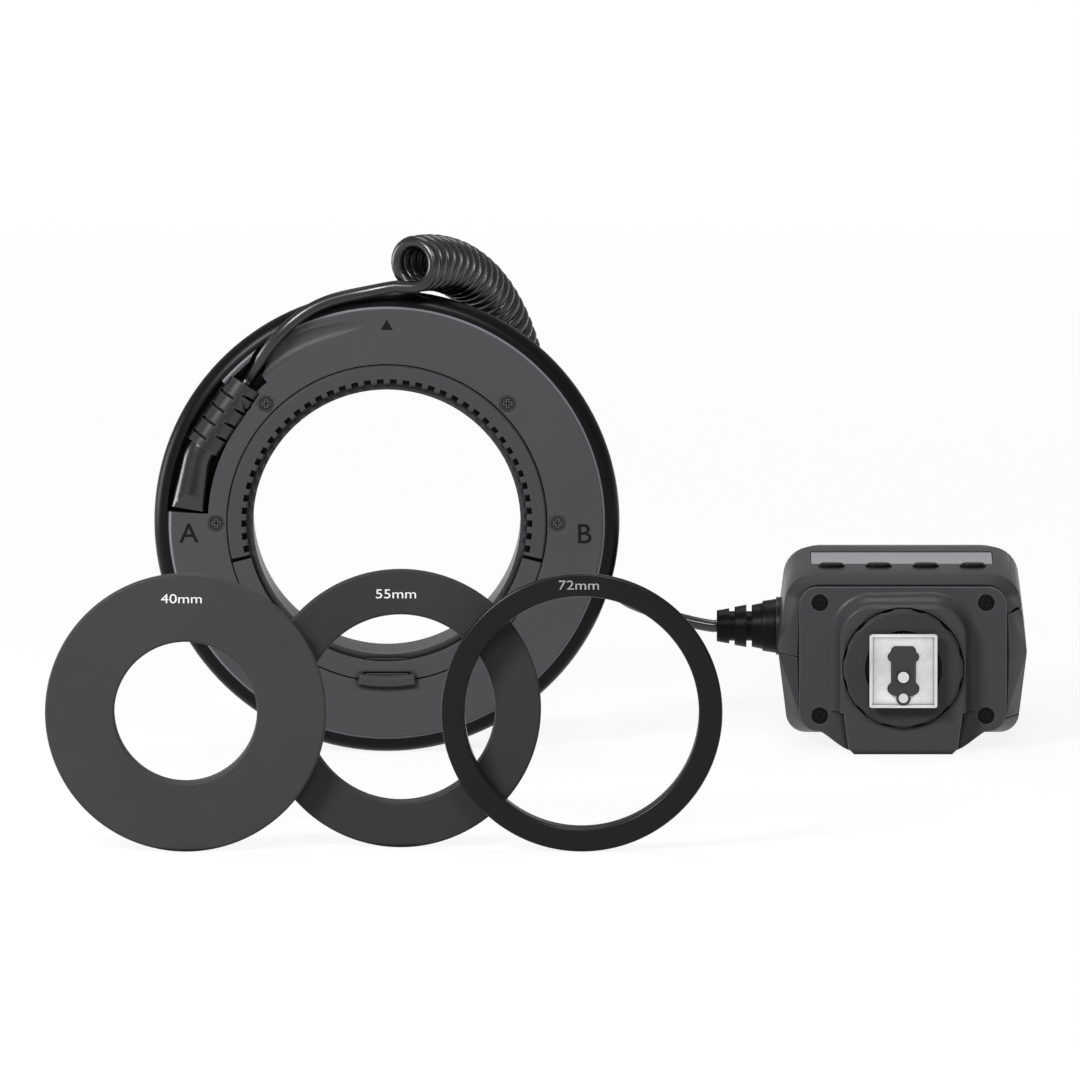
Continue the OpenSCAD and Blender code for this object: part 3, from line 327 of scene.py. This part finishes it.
@dataclass(frozen=True)
class Finish:
    """One finish: its colour, its gloss and its fine relief.

    Attributes:
        name: Name of the material.
        colour: Colour code of the surface.
        rough: Roughness of the gloss.
        rough_span: How far the clouds change the roughness.
        shade: How far the clouds darken the colour, as a share.
        relief: Depth of the fine relief, in millimetres.
        fineness: Scale of the fine relief.
        cloud: Scale of the clouds.
        metal: 1 for bare metal.
        coat: Weight of a clear coat.
        specular: Strength of the gloss.
        clear: Share of the light that passes through.
        texture: Kind of relief.
        centre: X and Z of the axis that turned marks run round, in metres.
        edge_rub_and_highlight: Colour code of the outer edges, a painted highlight that partly stands for rubbing,
            or nothing; with it, narrow hollows get painted shade.
        reach: How far the painted highlight of an edge goes, in millimetres.
        lip: Colour code of a band round the lens axis, or nothing: on the casing a grey lip, on the back plate a
            painted highlight along its outer edge.
        lip_radius: Radius that the lip's colour ends at, in millimetres.
        beyond: True where the lip lies outside that radius.
    """

    name: str
    colour: str
    rough: float = 0.5
    rough_span: float = 0.08
    shade: float = 0.12
    relief: float = 0.02
    fineness: float = 2500.0
    cloud: float = 30.0
    metal: float = 0.0
    coat: float = 0.0
    specular: float = 0.5
    clear: float = 0.0
    texture: Texture = Texture.GRAIN
    centre: tuple[float, float] = (0.0, 0.0)
    edge_rub_and_highlight: str = ""
    reach: float = 0.4
    lip: str = ""
    lip_radius: float = 0.0
    beyond: bool = False

    def relief_height(self, tree: Tree, grain: Node) -> Socket:
        """Gives the socket that holds the height of the fine relief.

        Args:
            tree: The material's nodes.
            grain: The grain group that is already in it.

        Returns:
            The height's socket.
        """
        if self.texture is Texture.GRAIN:
            return grain.outputs["Height"]
        turned = self.texture is Texture.TURNED
        group = shared(tree, Shading.rings() if turned else Shading.brushing())
        group.inputs["Fineness"].default_value = self.fineness
        if turned:
            group.inputs["Centre X"].default_value, group.inputs["Centre Z"].default_value = self.centre
        return group.outputs["Height"]

    def lipped(self, tree: Tree, colour: Socket) -> Socket:
        """Paints the band round the lens axis in a colour of its own; on the back plate this band is a painted
        highlight along the outer edge.

        Args:
            tree: The material's nodes.
            colour: The colour so far.

        Returns:
            The colour with the lip.
        """
        radius = shared(tree, Shading.rings()).outputs["Radius"]
        side = "GREATER_THAN" if self.beyond else "LESS_THAN"
        return blend(tree, calc(tree, side, radius, self.lip_radius * MM), colour, linear(self.lip))

    def polished(self, tree: Tree, colour: Socket) -> Socket:
        """Paints a highlight, which partly stands for rubbing, on the outer edges, and paints shade into narrow
        hollows.

        Args:
            tree: The material's nodes.
            colour: The colour so far.

        Returns:
            The colour with its edges.
        """
        painted_light = shared(tree, Shading.edges())
        painted_light.inputs["Reach"].default_value = self.reach * MM
        # Painted shade: narrow hollows take the colour, 85 % darker
        hollows = blend(tree, painted_light.outputs["Open"], linear(self.colour, darker=0.85), colour)
        # Painted highlight, partly standing for rubbing: the outer edges take the edge colour
        return blend(tree, painted_light.outputs["Outer"], hollows, linear(self.edge_rub_and_highlight))

    def material(self) -> bpy.types.Material:
        """Builds the material once, and returns it again afterwards."""
        if self.name in MADE:
            return MADE[self.name]
        made = bpy.data.materials.new(self.name)
        MADE[self.name] = made
        made.use_nodes = True
        tree = made.node_tree
        shader = tree.nodes["Principled BSDF"]
        shader.inputs["Metallic"].default_value = self.metal
        shader.inputs["Coat Weight"].default_value = self.coat
        shader.inputs["Coat Roughness"].default_value = 0.12
        shader.inputs["Specular IOR Level"].default_value = self.specular
        shader.inputs["Transmission Weight"].default_value = self.clear
        grain = shared(tree, Shading.grain())
        grain.inputs["Grain scale"].default_value = self.fineness
        grain.inputs["Cloud scale"].default_value = self.cloud
        clouds = ramp(tree, grain.outputs["Cloud"], 0.3, 0.7)
        colour = blend(tree, clouds, linear(self.colour), linear(self.colour, darker=self.shade))
        if self.lip:
            colour = self.lipped(tree, colour)
        if self.edge_rub_and_highlight:
            colour = self.polished(tree, colour)
        tree.links.new(colour, shader.inputs["Base Color"])
        half = self.rough_span / 2
        gloss = ramp(tree, clouds, low=self.rough - half, high=self.rough + half)
        tree.links.new(gloss, shader.inputs["Roughness"])
        bump = tree.nodes.new("ShaderNodeBump")
        bump.inputs["Strength"].default_value = 1.0
        bump.inputs["Distance"].default_value = self.relief * MM
        tree.links.new(self.relief_height(tree, grain), bump.inputs["Height"])
        tree.links.new(bump.outputs["Normal"], shader.inputs["Normal"])
        return made


# Where a finish has an edge colour, its outer edges get a painted highlight that partly stands for rubbing, and
# its narrow hollows get painted shade
# Ring head
CASING = Finish("casing_satin", "0e0e0f", rough=0.3, relief=0.003, specular=0.12, edge_rub_and_highlight="26262a", reach=0.5,
                lip="434346", lip_radius=38.6)
# The light band beyond 59.45 mm is a painted highlight along the plate's outer edge
PLATE = Finish("plate_satin", "4a4a4c", rough=0.4, relief=0.005, shade=0.07, specular=0.14, edge_rub_and_highlight="5e5f63",
               reach=0.3, lip="7b7c82", lip_radius=59.45, beyond=True)
CLIP = Finish("clip_satin", "464649", rough=0.4, relief=0.005, shade=0.07, specular=0.14, edge_rub_and_highlight="5a5b5f",
              reach=0.3)
TAB = Finish("tab_satin", "434346", rough=0.4, relief=0.005, specular=0.14, edge_rub_and_highlight="707176", reach=0.3)
SCREW = Finish("screw_steel", "1f1f21", rough=0.26, relief=0.004, specular=0.4, edge_rub_and_highlight="a2a3a8", reach=0.22)
FROST = Finish("diffuser_frost", "e6e6e0", rough=0.3, relief=0.004, shade=0.05, coat=0.1)
MIRROR = Finish("reflector_bright", "dcdde0", rough=0.2, metal=1.0, relief=0.003, texture=Texture.BRUSHED)
GLASS = Finish("tube_clear", "e8f0f2", rough=0.05, relief=0.001, clear=0.9, shade=0.02)
CERAMIC = Finish("holder_white", "e2e0d8", rough=0.5)
BOARD = Finish("board_lacquer", "1f5b38", rough=0.4, shade=0.3, cloud=220.0)

# Cord and its ends
BOOT = Finish("boot_gloss", "0e0e10", rough=0.27, relief=0.002, specular=0.7, edge_rub_and_highlight="2a2a2e", reach=0.4)
SLEEVE = Finish("sleeve_rubber", "1a1a1d", rough=0.3, relief=0.003, specular=0.6, edge_rub_and_highlight="5a5a60", reach=0.35)
CORD = Finish("cord_gloss", "09090b", rough=0.27, relief=0.0003, shade=0.15, specular=0.7)
RELIEF = Finish("relief_rubber", "0a0a0b", rough=0.4, relief=0.005, specular=0.1, edge_rub_and_highlight="2a2a2d", reach=0.35)

# Control unit
SHELL = Finish("unit_plastic", "2b2b2e", rough=0.34, relief=0.007, shade=0.08, fineness=1900.0, specular=0.1,
               edge_rub_and_highlight="5a5b60", reach=0.45)
BASE = Finish("base_plastic", "404043", rough=0.34, relief=0.006, shade=0.08, fineness=1900.0, specular=0.16,
              edge_rub_and_highlight="74757b", reach=0.4)
DOOR = Finish("door_plastic", "424245", rough=0.4, relief=0.008, shade=0.08, fineness=1900.0, specular=0.12,
              edge_rub_and_highlight="66676c", reach=0.4)
KEY = Finish("key_rubber", "0d0d0f", rough=0.46, relief=0.005, specular=0.12, edge_rub_and_highlight="323236", reach=0.3)
WHEEL = Finish("wheel_plastic", "37373a", rough=0.34, relief=0.004, specular=0.16, edge_rub_and_highlight="6a6b70", reach=0.35)
SUNK = Finish("sunk_screw", "060607", rough=0.3, relief=0.004, specular=0.1, edge_rub_and_highlight="4c4d51", reach=0.2)
PANE = Finish("display_pane", "97979d", rough=0.24, relief=0.001, shade=0.05, specular=0.15)
# Its clouds, up to 28 % darker, are painted reflections on the bright steel
STEEL = Finish("foot_steel", "ebecee", rough=0.22, rough_span=0.16, metal=1.0, relief=0.003,
               texture=Texture.BRUSHED, shade=0.28, cloud=90.0, edge_rub_and_highlight="f6f7f8", reach=0.35)
CONTACT = Finish("contact_plating", "e4e4e2", rough=0.18, metal=1.0, relief=0.002, texture=Texture.BRUSHED)
INSULATOR = Finish("insulator_matt", "404042", rough=0.44, relief=0.004, specular=0.12, edge_rub_and_highlight="585a5e",
                   reach=0.25)
CELL = Finish("cell_sleeve", "7f8a94", rough=0.35, coat=0.2)
CAPACITOR = Finish("capacitor_gloss", "22262b", rough=0.3, coat=0.3)

# Printed marks
INK = Finish("mark_ink", "0b0b0c", rough=0.6, relief=0.002, specular=0.15)
PRINT = Finish("size_print", "e9e9e9", rough=0.5, relief=0.002, shade=0.1)
FAINT = Finish("size_print_rubbed", "b4b4b4", rough=0.5, relief=0.002, shade=0.5, cloud=900.0)


def deselect() -> None:
    """Leaves nothing selected and nothing in edit mode."""
    if bpy.context.object and bpy.context.object.mode != "OBJECT":
        bpy.ops.object.mode_set(mode="OBJECT")
    bpy.ops.object.select_all(action="DESELECT")


def settle(piece: Piece) -> None:
    """Puts a piece's place into its mesh, so that its object sits at the origin."""
    deselect()
    piece.select_set(True)
    bpy.context.view_layer.objects.active = piece
    bpy.ops.object.transform_apply(location=True, rotation=True, scale=True)


@dataclass
class Lettering:
    """A flat mark on a face that looks towards the viewer.

    Attributes:
        name: Name of the piece.
        text: The letters.
        centre: Middle of the mark, on the face, in millimetres.
        height: Height of a capital letter.
        finish: Its finish.
        slot: Material slot of the record; not used.
        wide: How much wider than the plain font the letters are.
    """

    name: str
    text: str
    centre: Point
    height: float
    finish: Finish
    slot: str
    wide: float = 1.0

    def build(self) -> Piece:
        """Sets the letters, thickens them a little and turns them upright.

        Returns:
            The finished piece.
        """
        deselect()
        bpy.ops.object.text_add(location=(0, 0, 0))
        text = bpy.context.object
        text.data.body = self.text
        text.data.align_x, text.data.align_y = "CENTER", "CENTER"
        text.data.size = self.height * MM / CAPITAL
        text.data.extrude = PRINT_T * MM
        bpy.ops.object.convert(target="MESH")
        piece = bpy.context.object
        piece.name = self.name
        piece.scale = (self.wide, 1, 1)
        piece.rotation_euler = (math.radians(90), 0, 0)
        piece.location = Vector(self.centre) * MM
        settle(piece)
        piece.data.materials.clear()
        piece.data.materials.append(self.finish.material())
        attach(piece, "set")
        return piece


@dataclass
class Cord:
    """The cord: a lead from the ring, the curls, and a lead to the control unit.

    Attributes:
        diameter: Thickness of the cord, in millimetres.
        curl_radius: Radius of a curl at the middle of the cord.
        curls: Number of curls.
        steps: Points on each curl.
        start: Where the cord leaves the sleeve at the ring.
        start_dir: Direction there.
        end: Where it enters the strain relief of the control unit.
        ring_route: Points that the lead at the ring passes.
        control_route: Points that the lead at the control unit passes.
        lead_steps: Parts of a lead from one point to the next.
        arc_start: Where the arc that the curls wind round begins.
        arc_heading: Its first direction, in degrees from +X towards +Y.
        arc_length: Its length.
        arc_radius: Its radius.
        arc_lean: Lean of its plane from upright, in degrees.
        evened: Passes that even out the leads.
    """

    diameter: float = 3.4
    curl_radius: float = 6.2
    curls: float = 22.074
    steps: int = 24
    start: Point = (-38.767, 0.6, 38.475)
    start_dir: Point = (0.5548, 0.0, 0.832)
    end: Point = (91.0, 57.0, -37.0)
    ring_route: tuple[Point, ...] = (
        (-35, -1.7, 45), (-31.3, -4.6, 51), (-26, -5, 56.6), (-20, -4.4, 60.7), (-13, -3.9, 63.3),
        (-5, -4.3, 64.2))
    control_route: tuple[Point, ...] = (
        (49.5, 57, 22), (54, 57.4, 13), (55.8, 57.6, 1), (56.4, 57.4, -11.5), (58.3, 57.2, -22.5),
        (63, 57, -29.4), (70.5, 57, -32), (80, 57, -35))
    lead_steps: int = 6
    arc_start: Point = (7.0, -8.0, 72.4)
    arc_heading: float = 63.5
    arc_length: float = 94.0
    arc_radius: float = 88.0
    arc_lean: float = 6.0
    evened: int = 40

    def arc_side(self) -> Vector:
        """Gives the level direction across the arc's first direction."""
        heading = math.radians(self.arc_heading)
        return Vector((-math.sin(heading), math.cos(heading), 0))

    def axis_at(self, share: float) -> tuple[Vector, Vector]:
        """Gives the arc that the curls wind round.

        Args:
            share: From 0 at its start to 1 at its end.

        Returns:
            The point and the direction there.
        """
        side, lean = self.arc_side(), math.radians(self.arc_lean)
        ahead = Vector((side.y, -side.x, 0))
        down = math.sin(lean) * side - Vector((0, 0, math.cos(lean)))
        turn = share * self.arc_length / self.arc_radius
        off = math.sin(turn) * ahead + (1 - math.cos(turn)) * down
        return Vector(self.arc_start) + self.arc_radius * off, math.cos(turn) * ahead + math.sin(turn) * down

    def curl_at(self, share: float) -> Vector:
        """Gives a point of the curls, in millimetres."""
        middle, along = self.axis_at(share)
        side = self.arc_side()
        across = (side - side.dot(along) * along).normalized()
        angle = math.radians(90 + 360 * self.curls * share)
        out = math.cos(angle) * across - math.sin(angle) * along.cross(across)
        return middle + self.curl_radius * out

    def smooth(self, points: Sequence[Vector]) -> list[Vector]:
        """Runs a soft line through points.

        Args:
            points: The points that it passes.

        Returns:
            The finer points, both ends among them.
        """
        padded = [2 * points[0] - points[1], *points, 2 * points[-1] - points[-2]]
        line = []
        for i in range(1, len(padded) - 2):
            a, b, c, d = padded[i - 1:i + 3]
            for k in range(self.lead_steps):
                t = k / self.lead_steps
                line.append(0.5 * (2 * b + (c - a) * t + (2 * a - 5 * b + 4 * c - d) * t * t
                                   + (3 * b - a - 3 * c + d) * t ** 3))
        return [*line, points[-1]]

    def relax(self, line: list[Vector]) -> list[Vector]:
        """Evens out small bends, as the cord's own stiffness does, with both ends and directions kept.

        Args:
            line: The fine points of a lead.

        Returns:
            The evened points.
        """
        for _ in range(self.evened):
            inner = [(a + 2 * b + c) / 4 for a, b, c in zip(line[2:-4], line[3:-3], line[4:-2])]
            line = [*line[:3], *inner, *line[-3:]]
        return line

    def path(self) -> list[Vector]:
        """Gives the whole line of the cord, in millimetres, from the ring to the control unit."""
        count = round(self.curls * self.steps)
        curls = [self.curl_at(i / count) for i in range(count + 1)]
        little = 0.0001
        into = (self.curl_at(little) - curls[0]).normalized() * self.diameter
        away = (curls[-1] - self.curl_at(1 - little)).normalized() * self.diameter
        start, end = Vector(self.start), Vector(self.end)
        ring = [start, start + Vector(self.start_dir) * self.diameter, *map(Vector, self.ring_route),
                curls[0] - 2 * into, curls[0] - into]
        control = [curls[-1] + away, curls[-1] + 2 * away, *map(Vector, self.control_route),
                   end - Vector((self.diameter, 0, 0)), end]
        return [*self.relax(self.smooth(ring)), *curls, *self.relax(self.smooth(control))]

    def build(self) -> Piece:
        """Returns:
            The cord.
        """
        line = [p * MM for p in self.path()]
        curve = bpy.data.curves.new("cord", "CURVE")
        curve.dimensions = "3D"
        curve.bevel_depth = self.diameter / 2 * MM
        curve.bevel_resolution = 4
        curve.use_fill_caps = True
        spline = curve.splines.new("POLY")
        spline.points.add(len(line) - 1)
        for point, spot in zip(spline.points, line):
            point.co = (*spot, 1)
        spline.use_smooth = True
        piece = bpy.data.objects.new("cord", curve)
        bpy.context.scene.collection.objects.link(piece)
        curve.materials.append(CORD.material())
        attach(piece, "set")
        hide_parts("cord_lead_ring", "cord_coil", "cord_lead_control")
        length = sum((b - a).length for a, b in zip(line, line[1:]))
        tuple(line[0])
        LOG.info("cord %.3f m", length)
        return piece


@dataclass
class Dressing:
    """Finishes of CAD nodes, with softened edges.

    Attributes:
        finishes: Finish of each node.
        edges: Width of the rounding of a node's sharp edges, in millimetres.
        weld: Distance within which the points of a node are joined, in millimetres.
        rounded_from: Angle from which an edge is rounded, in degrees.
        sharp_from: Angle from which an edge stays sharp in the shading, in degrees.
    """

    finishes: dict[str, Finish]
    edges: dict[str, float]
    weld: float = 0.002
    rounded_from: float = 40.0
    sharp_from: float = 32.0

    def dress(self, nodes: dict[str, Piece]) -> None:
        """Gives each node its finish and soft edges.

        Args:
            nodes: The CAD nodes by name.
        """
        for name, finish in self.finishes.items():
            node = nodes[name]
            node.data.materials.clear()
            node.data.materials.append(finish.material())
            for face in node.data.polygons:
                face.use_smooth = True
                face.material_index = 0
            self.soften(node, self.edges.get(name, 0.0))
            LOG.info("%s: %s", name, finish.name)

    def soften(self, node: Piece, width: float) -> None:
        """Rounds a node's sharp edges and keeps its flat faces flat in the shading.

        Args:
            node: The CAD node.
            width: Width of the rounding in millimetres, or 0 for none.
        """
        weld = node.modifiers.new("weld", "WELD")
        weld.merge_threshold = self.weld * MM
        if width:
            bevel = node.modifiers.new("soft_edges", "BEVEL")
            bevel.width = width * MM
            bevel.segments = 2
            bevel.limit_method = "ANGLE"
            bevel.angle_limit = math.radians(self.rounded_from)
        split = node.modifiers.new("sharp", "EDGE_SPLIT")
        split.split_angle = math.radians(self.sharp_from)
        if width:
            flat = node.modifiers.new("flat_faces", "WEIGHTED_NORMAL")
            flat.weight = 100
            flat.keep_sharp = True


@dataclass
class RingHead:
    """Marks on the ring head's back plate.

    Attributes:
        face: Height of the plate's face above the seat, in millimetres.
        letter: Height of the letters.
        pointer_radius: Radius of the circle round the pointer.
        pointer_z: Height of the pointer above the lens axis.
    """

    face: float = 2.6
    letter: float = 5.4
    pointer_radius: float = 1.9
    pointer_z: float = 54.6

    def build(self) -> list[Piece]:
        """Prints the two letters and the pointer at the top.

        Returns:
            The marks.
        """
        front = -self.face - PRINT_T
        marks = [
            Lettering("mark_a", "A", (-54.4, front, -3.0), self.letter, INK, "casing_black").build(),
            Lettering("mark_b", "B", (54.2, front, -3.2), self.letter, INK, "casing_black").build(),
        ]
        return [*marks, self.pointer()]

    def pointer(self) -> Piece:
        """Prints the pointer, a triangle.

        Returns:
            The pointer.
        """
        deselect()
        bpy.ops.mesh.primitive_circle_add(vertices=3, radius=self.pointer_radius * MM, fill_type="NGON",
                                          location=(0, 0, 0))
        pointer = bpy.context.object
        pointer.name = "mark_pointer"
        bpy.ops.object.mode_set(mode="EDIT")
        bpy.ops.mesh.select_all(action="SELECT")
        bpy.ops.mesh.extrude_region_move(TRANSFORM_OT_translate={"value": (0, 0, PRINT_T * MM)})
        bpy.ops.object.mode_set(mode="OBJECT")
        pointer.rotation_euler = (math.radians(90), 0, 0)
        pointer.location = Vector((0, -self.face, self.pointer_z)) * MM
        settle(pointer)
        pointer.data.materials.append(INK.material())
        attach(pointer, "set")
        return pointer


@dataclass
class Adapter:
    """One lens adapter's finish and its printed size.

    Attributes:
        node: Its CAD node.
        size: The printed size.
        centre: X and Z of its middle, in millimetres.
        face: Y of the face that shows.
        print_z: Height of the print above the middle.
        colour: Colour code.
        rough: Roughness.
        gloss: Strength of the gloss.
        ink: Finish of the print.
        shift: How far the print stands to the right of the middle.
    """

    node: str
    size: str
    centre: tuple[float, float]
    face: float
    print_z: float
    colour: str
    rough: float
    gloss: float
    ink: Finish
    shift: float = -1.0

    def finish(self) -> Finish:
        """Gives the turned finish round this adapter's own axis."""
        # The edge colour is a painted highlight that partly stands for rubbing
        return Finish(f"{self.node}_anodised", self.colour, rough=self.rough, relief=0.004, specular=self.gloss,
                      edge_rub_and_highlight="6e6f73", reach=0.25, texture=Texture.TURNED, fineness=900.0,
                      centre=(self.centre[0] * MM, self.centre[1] * MM))

    def build(self) -> Piece:
        """Prints the size on the face.

        Returns:
            The print.
        """
        spot = (self.centre[0] + self.shift, self.face - PRINT_T, self.centre[1] + self.print_z)
        return Lettering(f"{self.node}_size", self.size, spot, 2.5, self.ink, "diffuser_white",
                         wide=1.25).build()


@dataclass(frozen=True)
class Lamp:
    """One soft lamp.

    Attributes:
        name: Its name.
        spot: Where it hangs, in metres.
        size: Width of its face, in metres.
        power: Its power in watts.
    """

    name: str
    spot: Point
    size: float
    power: float

    def hang(self, aim: Point) -> None:
        """Hangs the lamp.

        Args:
            aim: What it points at, in metres.
        """
        data = bpy.data.lights.new(self.name, "AREA")
        data.size, data.energy = self.size, self.power
        lamp = bpy.data.objects.new(self.name, data)
        bpy.context.scene.collection.objects.link(lamp)
        lamp.location = self.spot
        lamp.rotation_euler = (Vector(aim) - Vector(self.spot)).to_track_quat("-Z", "Y").to_euler()


@dataclass
class Studio:
    """Camera, lights and floor.

    Attributes:
        look_down: Angle of the camera above the horizon, in degrees.
        target: What it looks at, in millimetres.
        away: Its distance, in metres.
        width: Width of the picture at the target, in millimetres.
        sensor: Width of its sensor, in millimetres.
        lamps: The lamps.
        lit: What they point at, in metres.
        floor: Height of the surface, in millimetres.
        floor_size: Width of the surface, in metres.
        floor_dim: How pale the floor is where it only lights the object.
        floor_pale: How pale it is where it is seen.
        surround: Strength of the light from all round.
        mirrored: How much whiter the surroundings above the floor are where a gloss mirrors them.
        glow: Share of the floor by the object that is plain white where it is seen.
        near: Distance at which this share starts to grow, in metres.
        far: Distance past which the whole floor is plain white where it is seen, in metres.
    """

    look_down: float = 8.0
    target: Point = (42.1, 0.0, -5.0)
    away: float = 10.0
    width: float = 297.0
    sensor: float = 36.0
    lamps: tuple[Lamp, ...] = (
        Lamp("key", (-0.6, -1.0, 0.7), 0.35, 14.5),
        Lamp("front", (0.25, -1.2, 0.9), 0.3, 6.0),
        Lamp("top", (0.05, 0.4, 1.1), 0.6, 4.0),
        Lamp("left_strip", (-0.7, 0.1, 0.05), 0.3, 2.5),
    )
    lit: Point = (0.05, 0.0, 0.0)
    floor: float = -64.0
    floor_size: float = 60.0
    floor_dim: float = 0.5
    floor_pale: float = 0.94
    surround: float = 0.22
    mirrored: float = 0.25
    glow: float = 0.88
    near: float = 0.3
    far: float = 1.2

    def camera(self) -> None:
        """Sets the camera far away with a long lens."""
        data = bpy.data.cameras.new("camera")
        data.sensor_width = self.sensor
        data.lens = self.sensor * self.away / (self.width * MM)
        data.clip_start, data.clip_end = 0.1, 100.0
        camera = bpy.data.objects.new("camera", data)
        bpy.context.scene.collection.objects.link(camera)
        tilt = math.radians(self.look_down)
        back = self.away * Vector((0, -math.cos(tilt), math.sin(tilt)))
        camera.location = Vector(self.target) * MM + back
        camera.rotation_euler = (math.radians(90) - tilt, 0, 0)
        bpy.context.scene.camera = camera

    def lights(self) -> None:
        """Hangs the lamps and lights the surroundings evenly."""
        for lamp in self.lamps:
            lamp.hang(self.lit)
        world = bpy.data.worlds.new("surroundings")
        world.use_nodes = True
        tree = world.node_tree
        shade = tree.nodes["Background"]
        shade.inputs["Color"].default_value = (1, 1, 1, 1)
        strength = ramp(tree, self.seen(tree, self.mirrored), low=self.surround)
        tree.links.new(strength, shade.inputs["Strength"])
        bpy.context.scene.world = world

    def seen(self, tree: Tree, mirrored: float = 1.0) -> Socket:
        """Gives 1 for the rays that show the background, and 0 for those that only light the object.

        Args:
            tree: The nodes that the answer is for.
            mirrored: The answer for rays that a gloss sends out.

        Returns:
            The socket that holds the answer.
        """
        path = tree.nodes.new("ShaderNodeLightPath")
        gloss = calc(tree, "MULTIPLY", path.outputs["Is Glossy Ray"], mirrored)
        shown = calc(tree, "MAXIMUM", path.outputs["Is Camera Ray"], gloss)
        return calc(tree, "MAXIMUM", shown, path.outputs["Is Transmission Ray"])

    def ground(self) -> None:
        """Lays the pale floor, which keeps the shadows."""
        deselect()
        bpy.ops.mesh.primitive_plane_add(size=self.floor_size, location=(0, 0, self.floor * MM))
        floor = bpy.context.object
        floor.name = "floor"
        made = bpy.data.materials.new("floor_pale")
        made.use_nodes = True
        tree = made.node_tree
        shader = tree.nodes["Principled BSDF"]
        seen = self.seen(tree)
        dim, pale = ((tone, tone, tone, 1.0) for tone in (self.floor_dim, self.floor_pale))
        tree.links.new(blend(tree, seen, dim, pale), shader.inputs["Base Color"])
        shader.inputs["Roughness"].default_value = 0.9
        shader.inputs["Specular IOR Level"].default_value = 0.0
        glow = tree.nodes.new("ShaderNodeEmission")
        glow.inputs["Strength"].default_value = 1.0
        away = tree.nodes.new("ShaderNodeVectorMath")
        away.operation = "LENGTH"
        tree.links.new(place(tree), away.inputs[0])
        spread = ramp(tree, away.outputs["Value"], self.near, self.far, low=self.glow)
        mix = tree.nodes.new("ShaderNodeMixShader")
        tree.links.new(calc(tree, "MULTIPLY", seen, spread), mix.inputs[0])
        tree.links.new(shader.outputs[0], mix.inputs[1])
        tree.links.new(glow.outputs[0], mix.inputs[2])
        tree.links.new(mix.outputs[0], tree.nodes["Material Output"].inputs["Surface"])
        floor.data.materials.append(made)

    def build(self) -> None:
        """Sets up the picture."""
        bpy.context.scene.view_settings.view_transform = "Standard"
        self.camera()
        self.lights()
        self.ground()


ADAPTERS = (
    Adapter("adapter_small", "40mm", (-53.6, -26.0), -186.0, 31.0, "3e3e3f", 0.44, 0.1, PRINT),
    Adapter("adapter_medium", "55mm", (4.4, -26.0), -178.0, 31.2, "353536", 0.44, 0.1, PRINT, -1.2),
    Adapter("adapter_large", "72mm", (53.4, -26.0), -186.0, 34.7, "151516", 0.3, 0.16, FAINT, -0.8),
)

BUTTONS = ["button_1", "button_2", "button_3", "button_4"]

# Nodes by the width of their rounded edges, in millimetres
SOFT_EDGES = {
    0.12: ["shoe_insulator"],
    0.15: ["ring_strain_relief", "display_window"],
    0.2: ["back_plate", "lens_clip", "release_tab", "seat_cover", "cable_boot", "control_strain_relief", *BUTTONS],
    0.25: ["adapter_small", "adapter_medium", "shoe_foot", "lock_wheel", "battery_door", "ring_casing"],
    0.3: ["adapter_large", "base_cover", "panel_shell", "lower_shell"],
}


def finishes() -> dict[str, Finish]:
    """Gives each CAD node its finish."""
    table = {
        CASING: ["ring_casing"], PLATE: ["back_plate", "seat_cover"], CLIP: ["lens_clip"], TAB: ["release_tab"],
        FROST: ["diffuser_a", "diffuser_b", "focus_lamps"], MIRROR: ["reflector_a", "reflector_b"],
        GLASS: ["flash_tube_a", "flash_tube_b"], CERAMIC: ["tube_holders", "button_pad"],
        BOARD: ["ring_circuit_board", "main_circuit_board"], SCREW: ["ring_screws"], SUNK: ["base_screws"],
        BOOT: ["cable_boot"], SLEEVE: ["ring_strain_relief"], RELIEF: ["control_strain_relief"],
        SHELL: ["panel_shell", "lower_shell"], BASE: ["base_cover"], PANE: ["display_window", "display_module"],
        KEY: BUTTONS, DOOR: ["battery_door"], WHEEL: ["lock_wheel"],
        STEEL: ["shoe_foot", "door_hinge_pin"], INSULATOR: ["shoe_insulator", "battery_tray"],
        CONTACT: ["shoe_contact", "lock_pin", "battery_contacts"], CELL: ["batteries"],
        CAPACITOR: ["flash_capacitor"],
    }
    found = {node: finish for finish, nodes in table.items() for node in nodes}
    found.update({adapter.node: adapter.finish() for adapter in ADAPTERS})
    return found


def main() -> None:
    """Builds the picture and every piece in order."""
    logging.basicConfig(level=logging.INFO, format="%(name)s: %(message)s")
    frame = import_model()
    Studio().build()
    Cord().build()
    widths = {node: width for width, nodes in SOFT_EDGES.items() for node in nodes}
    Dressing(finishes(), widths).dress(frame["nodes"])
    marks = RingHead().build()
    marks += [adapter.build() for adapter in ADAPTERS]
    for mark in marks:
        LOG.info("%s on %s", mark.name, mark["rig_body"])


if __name__ == "__main__":
    main()
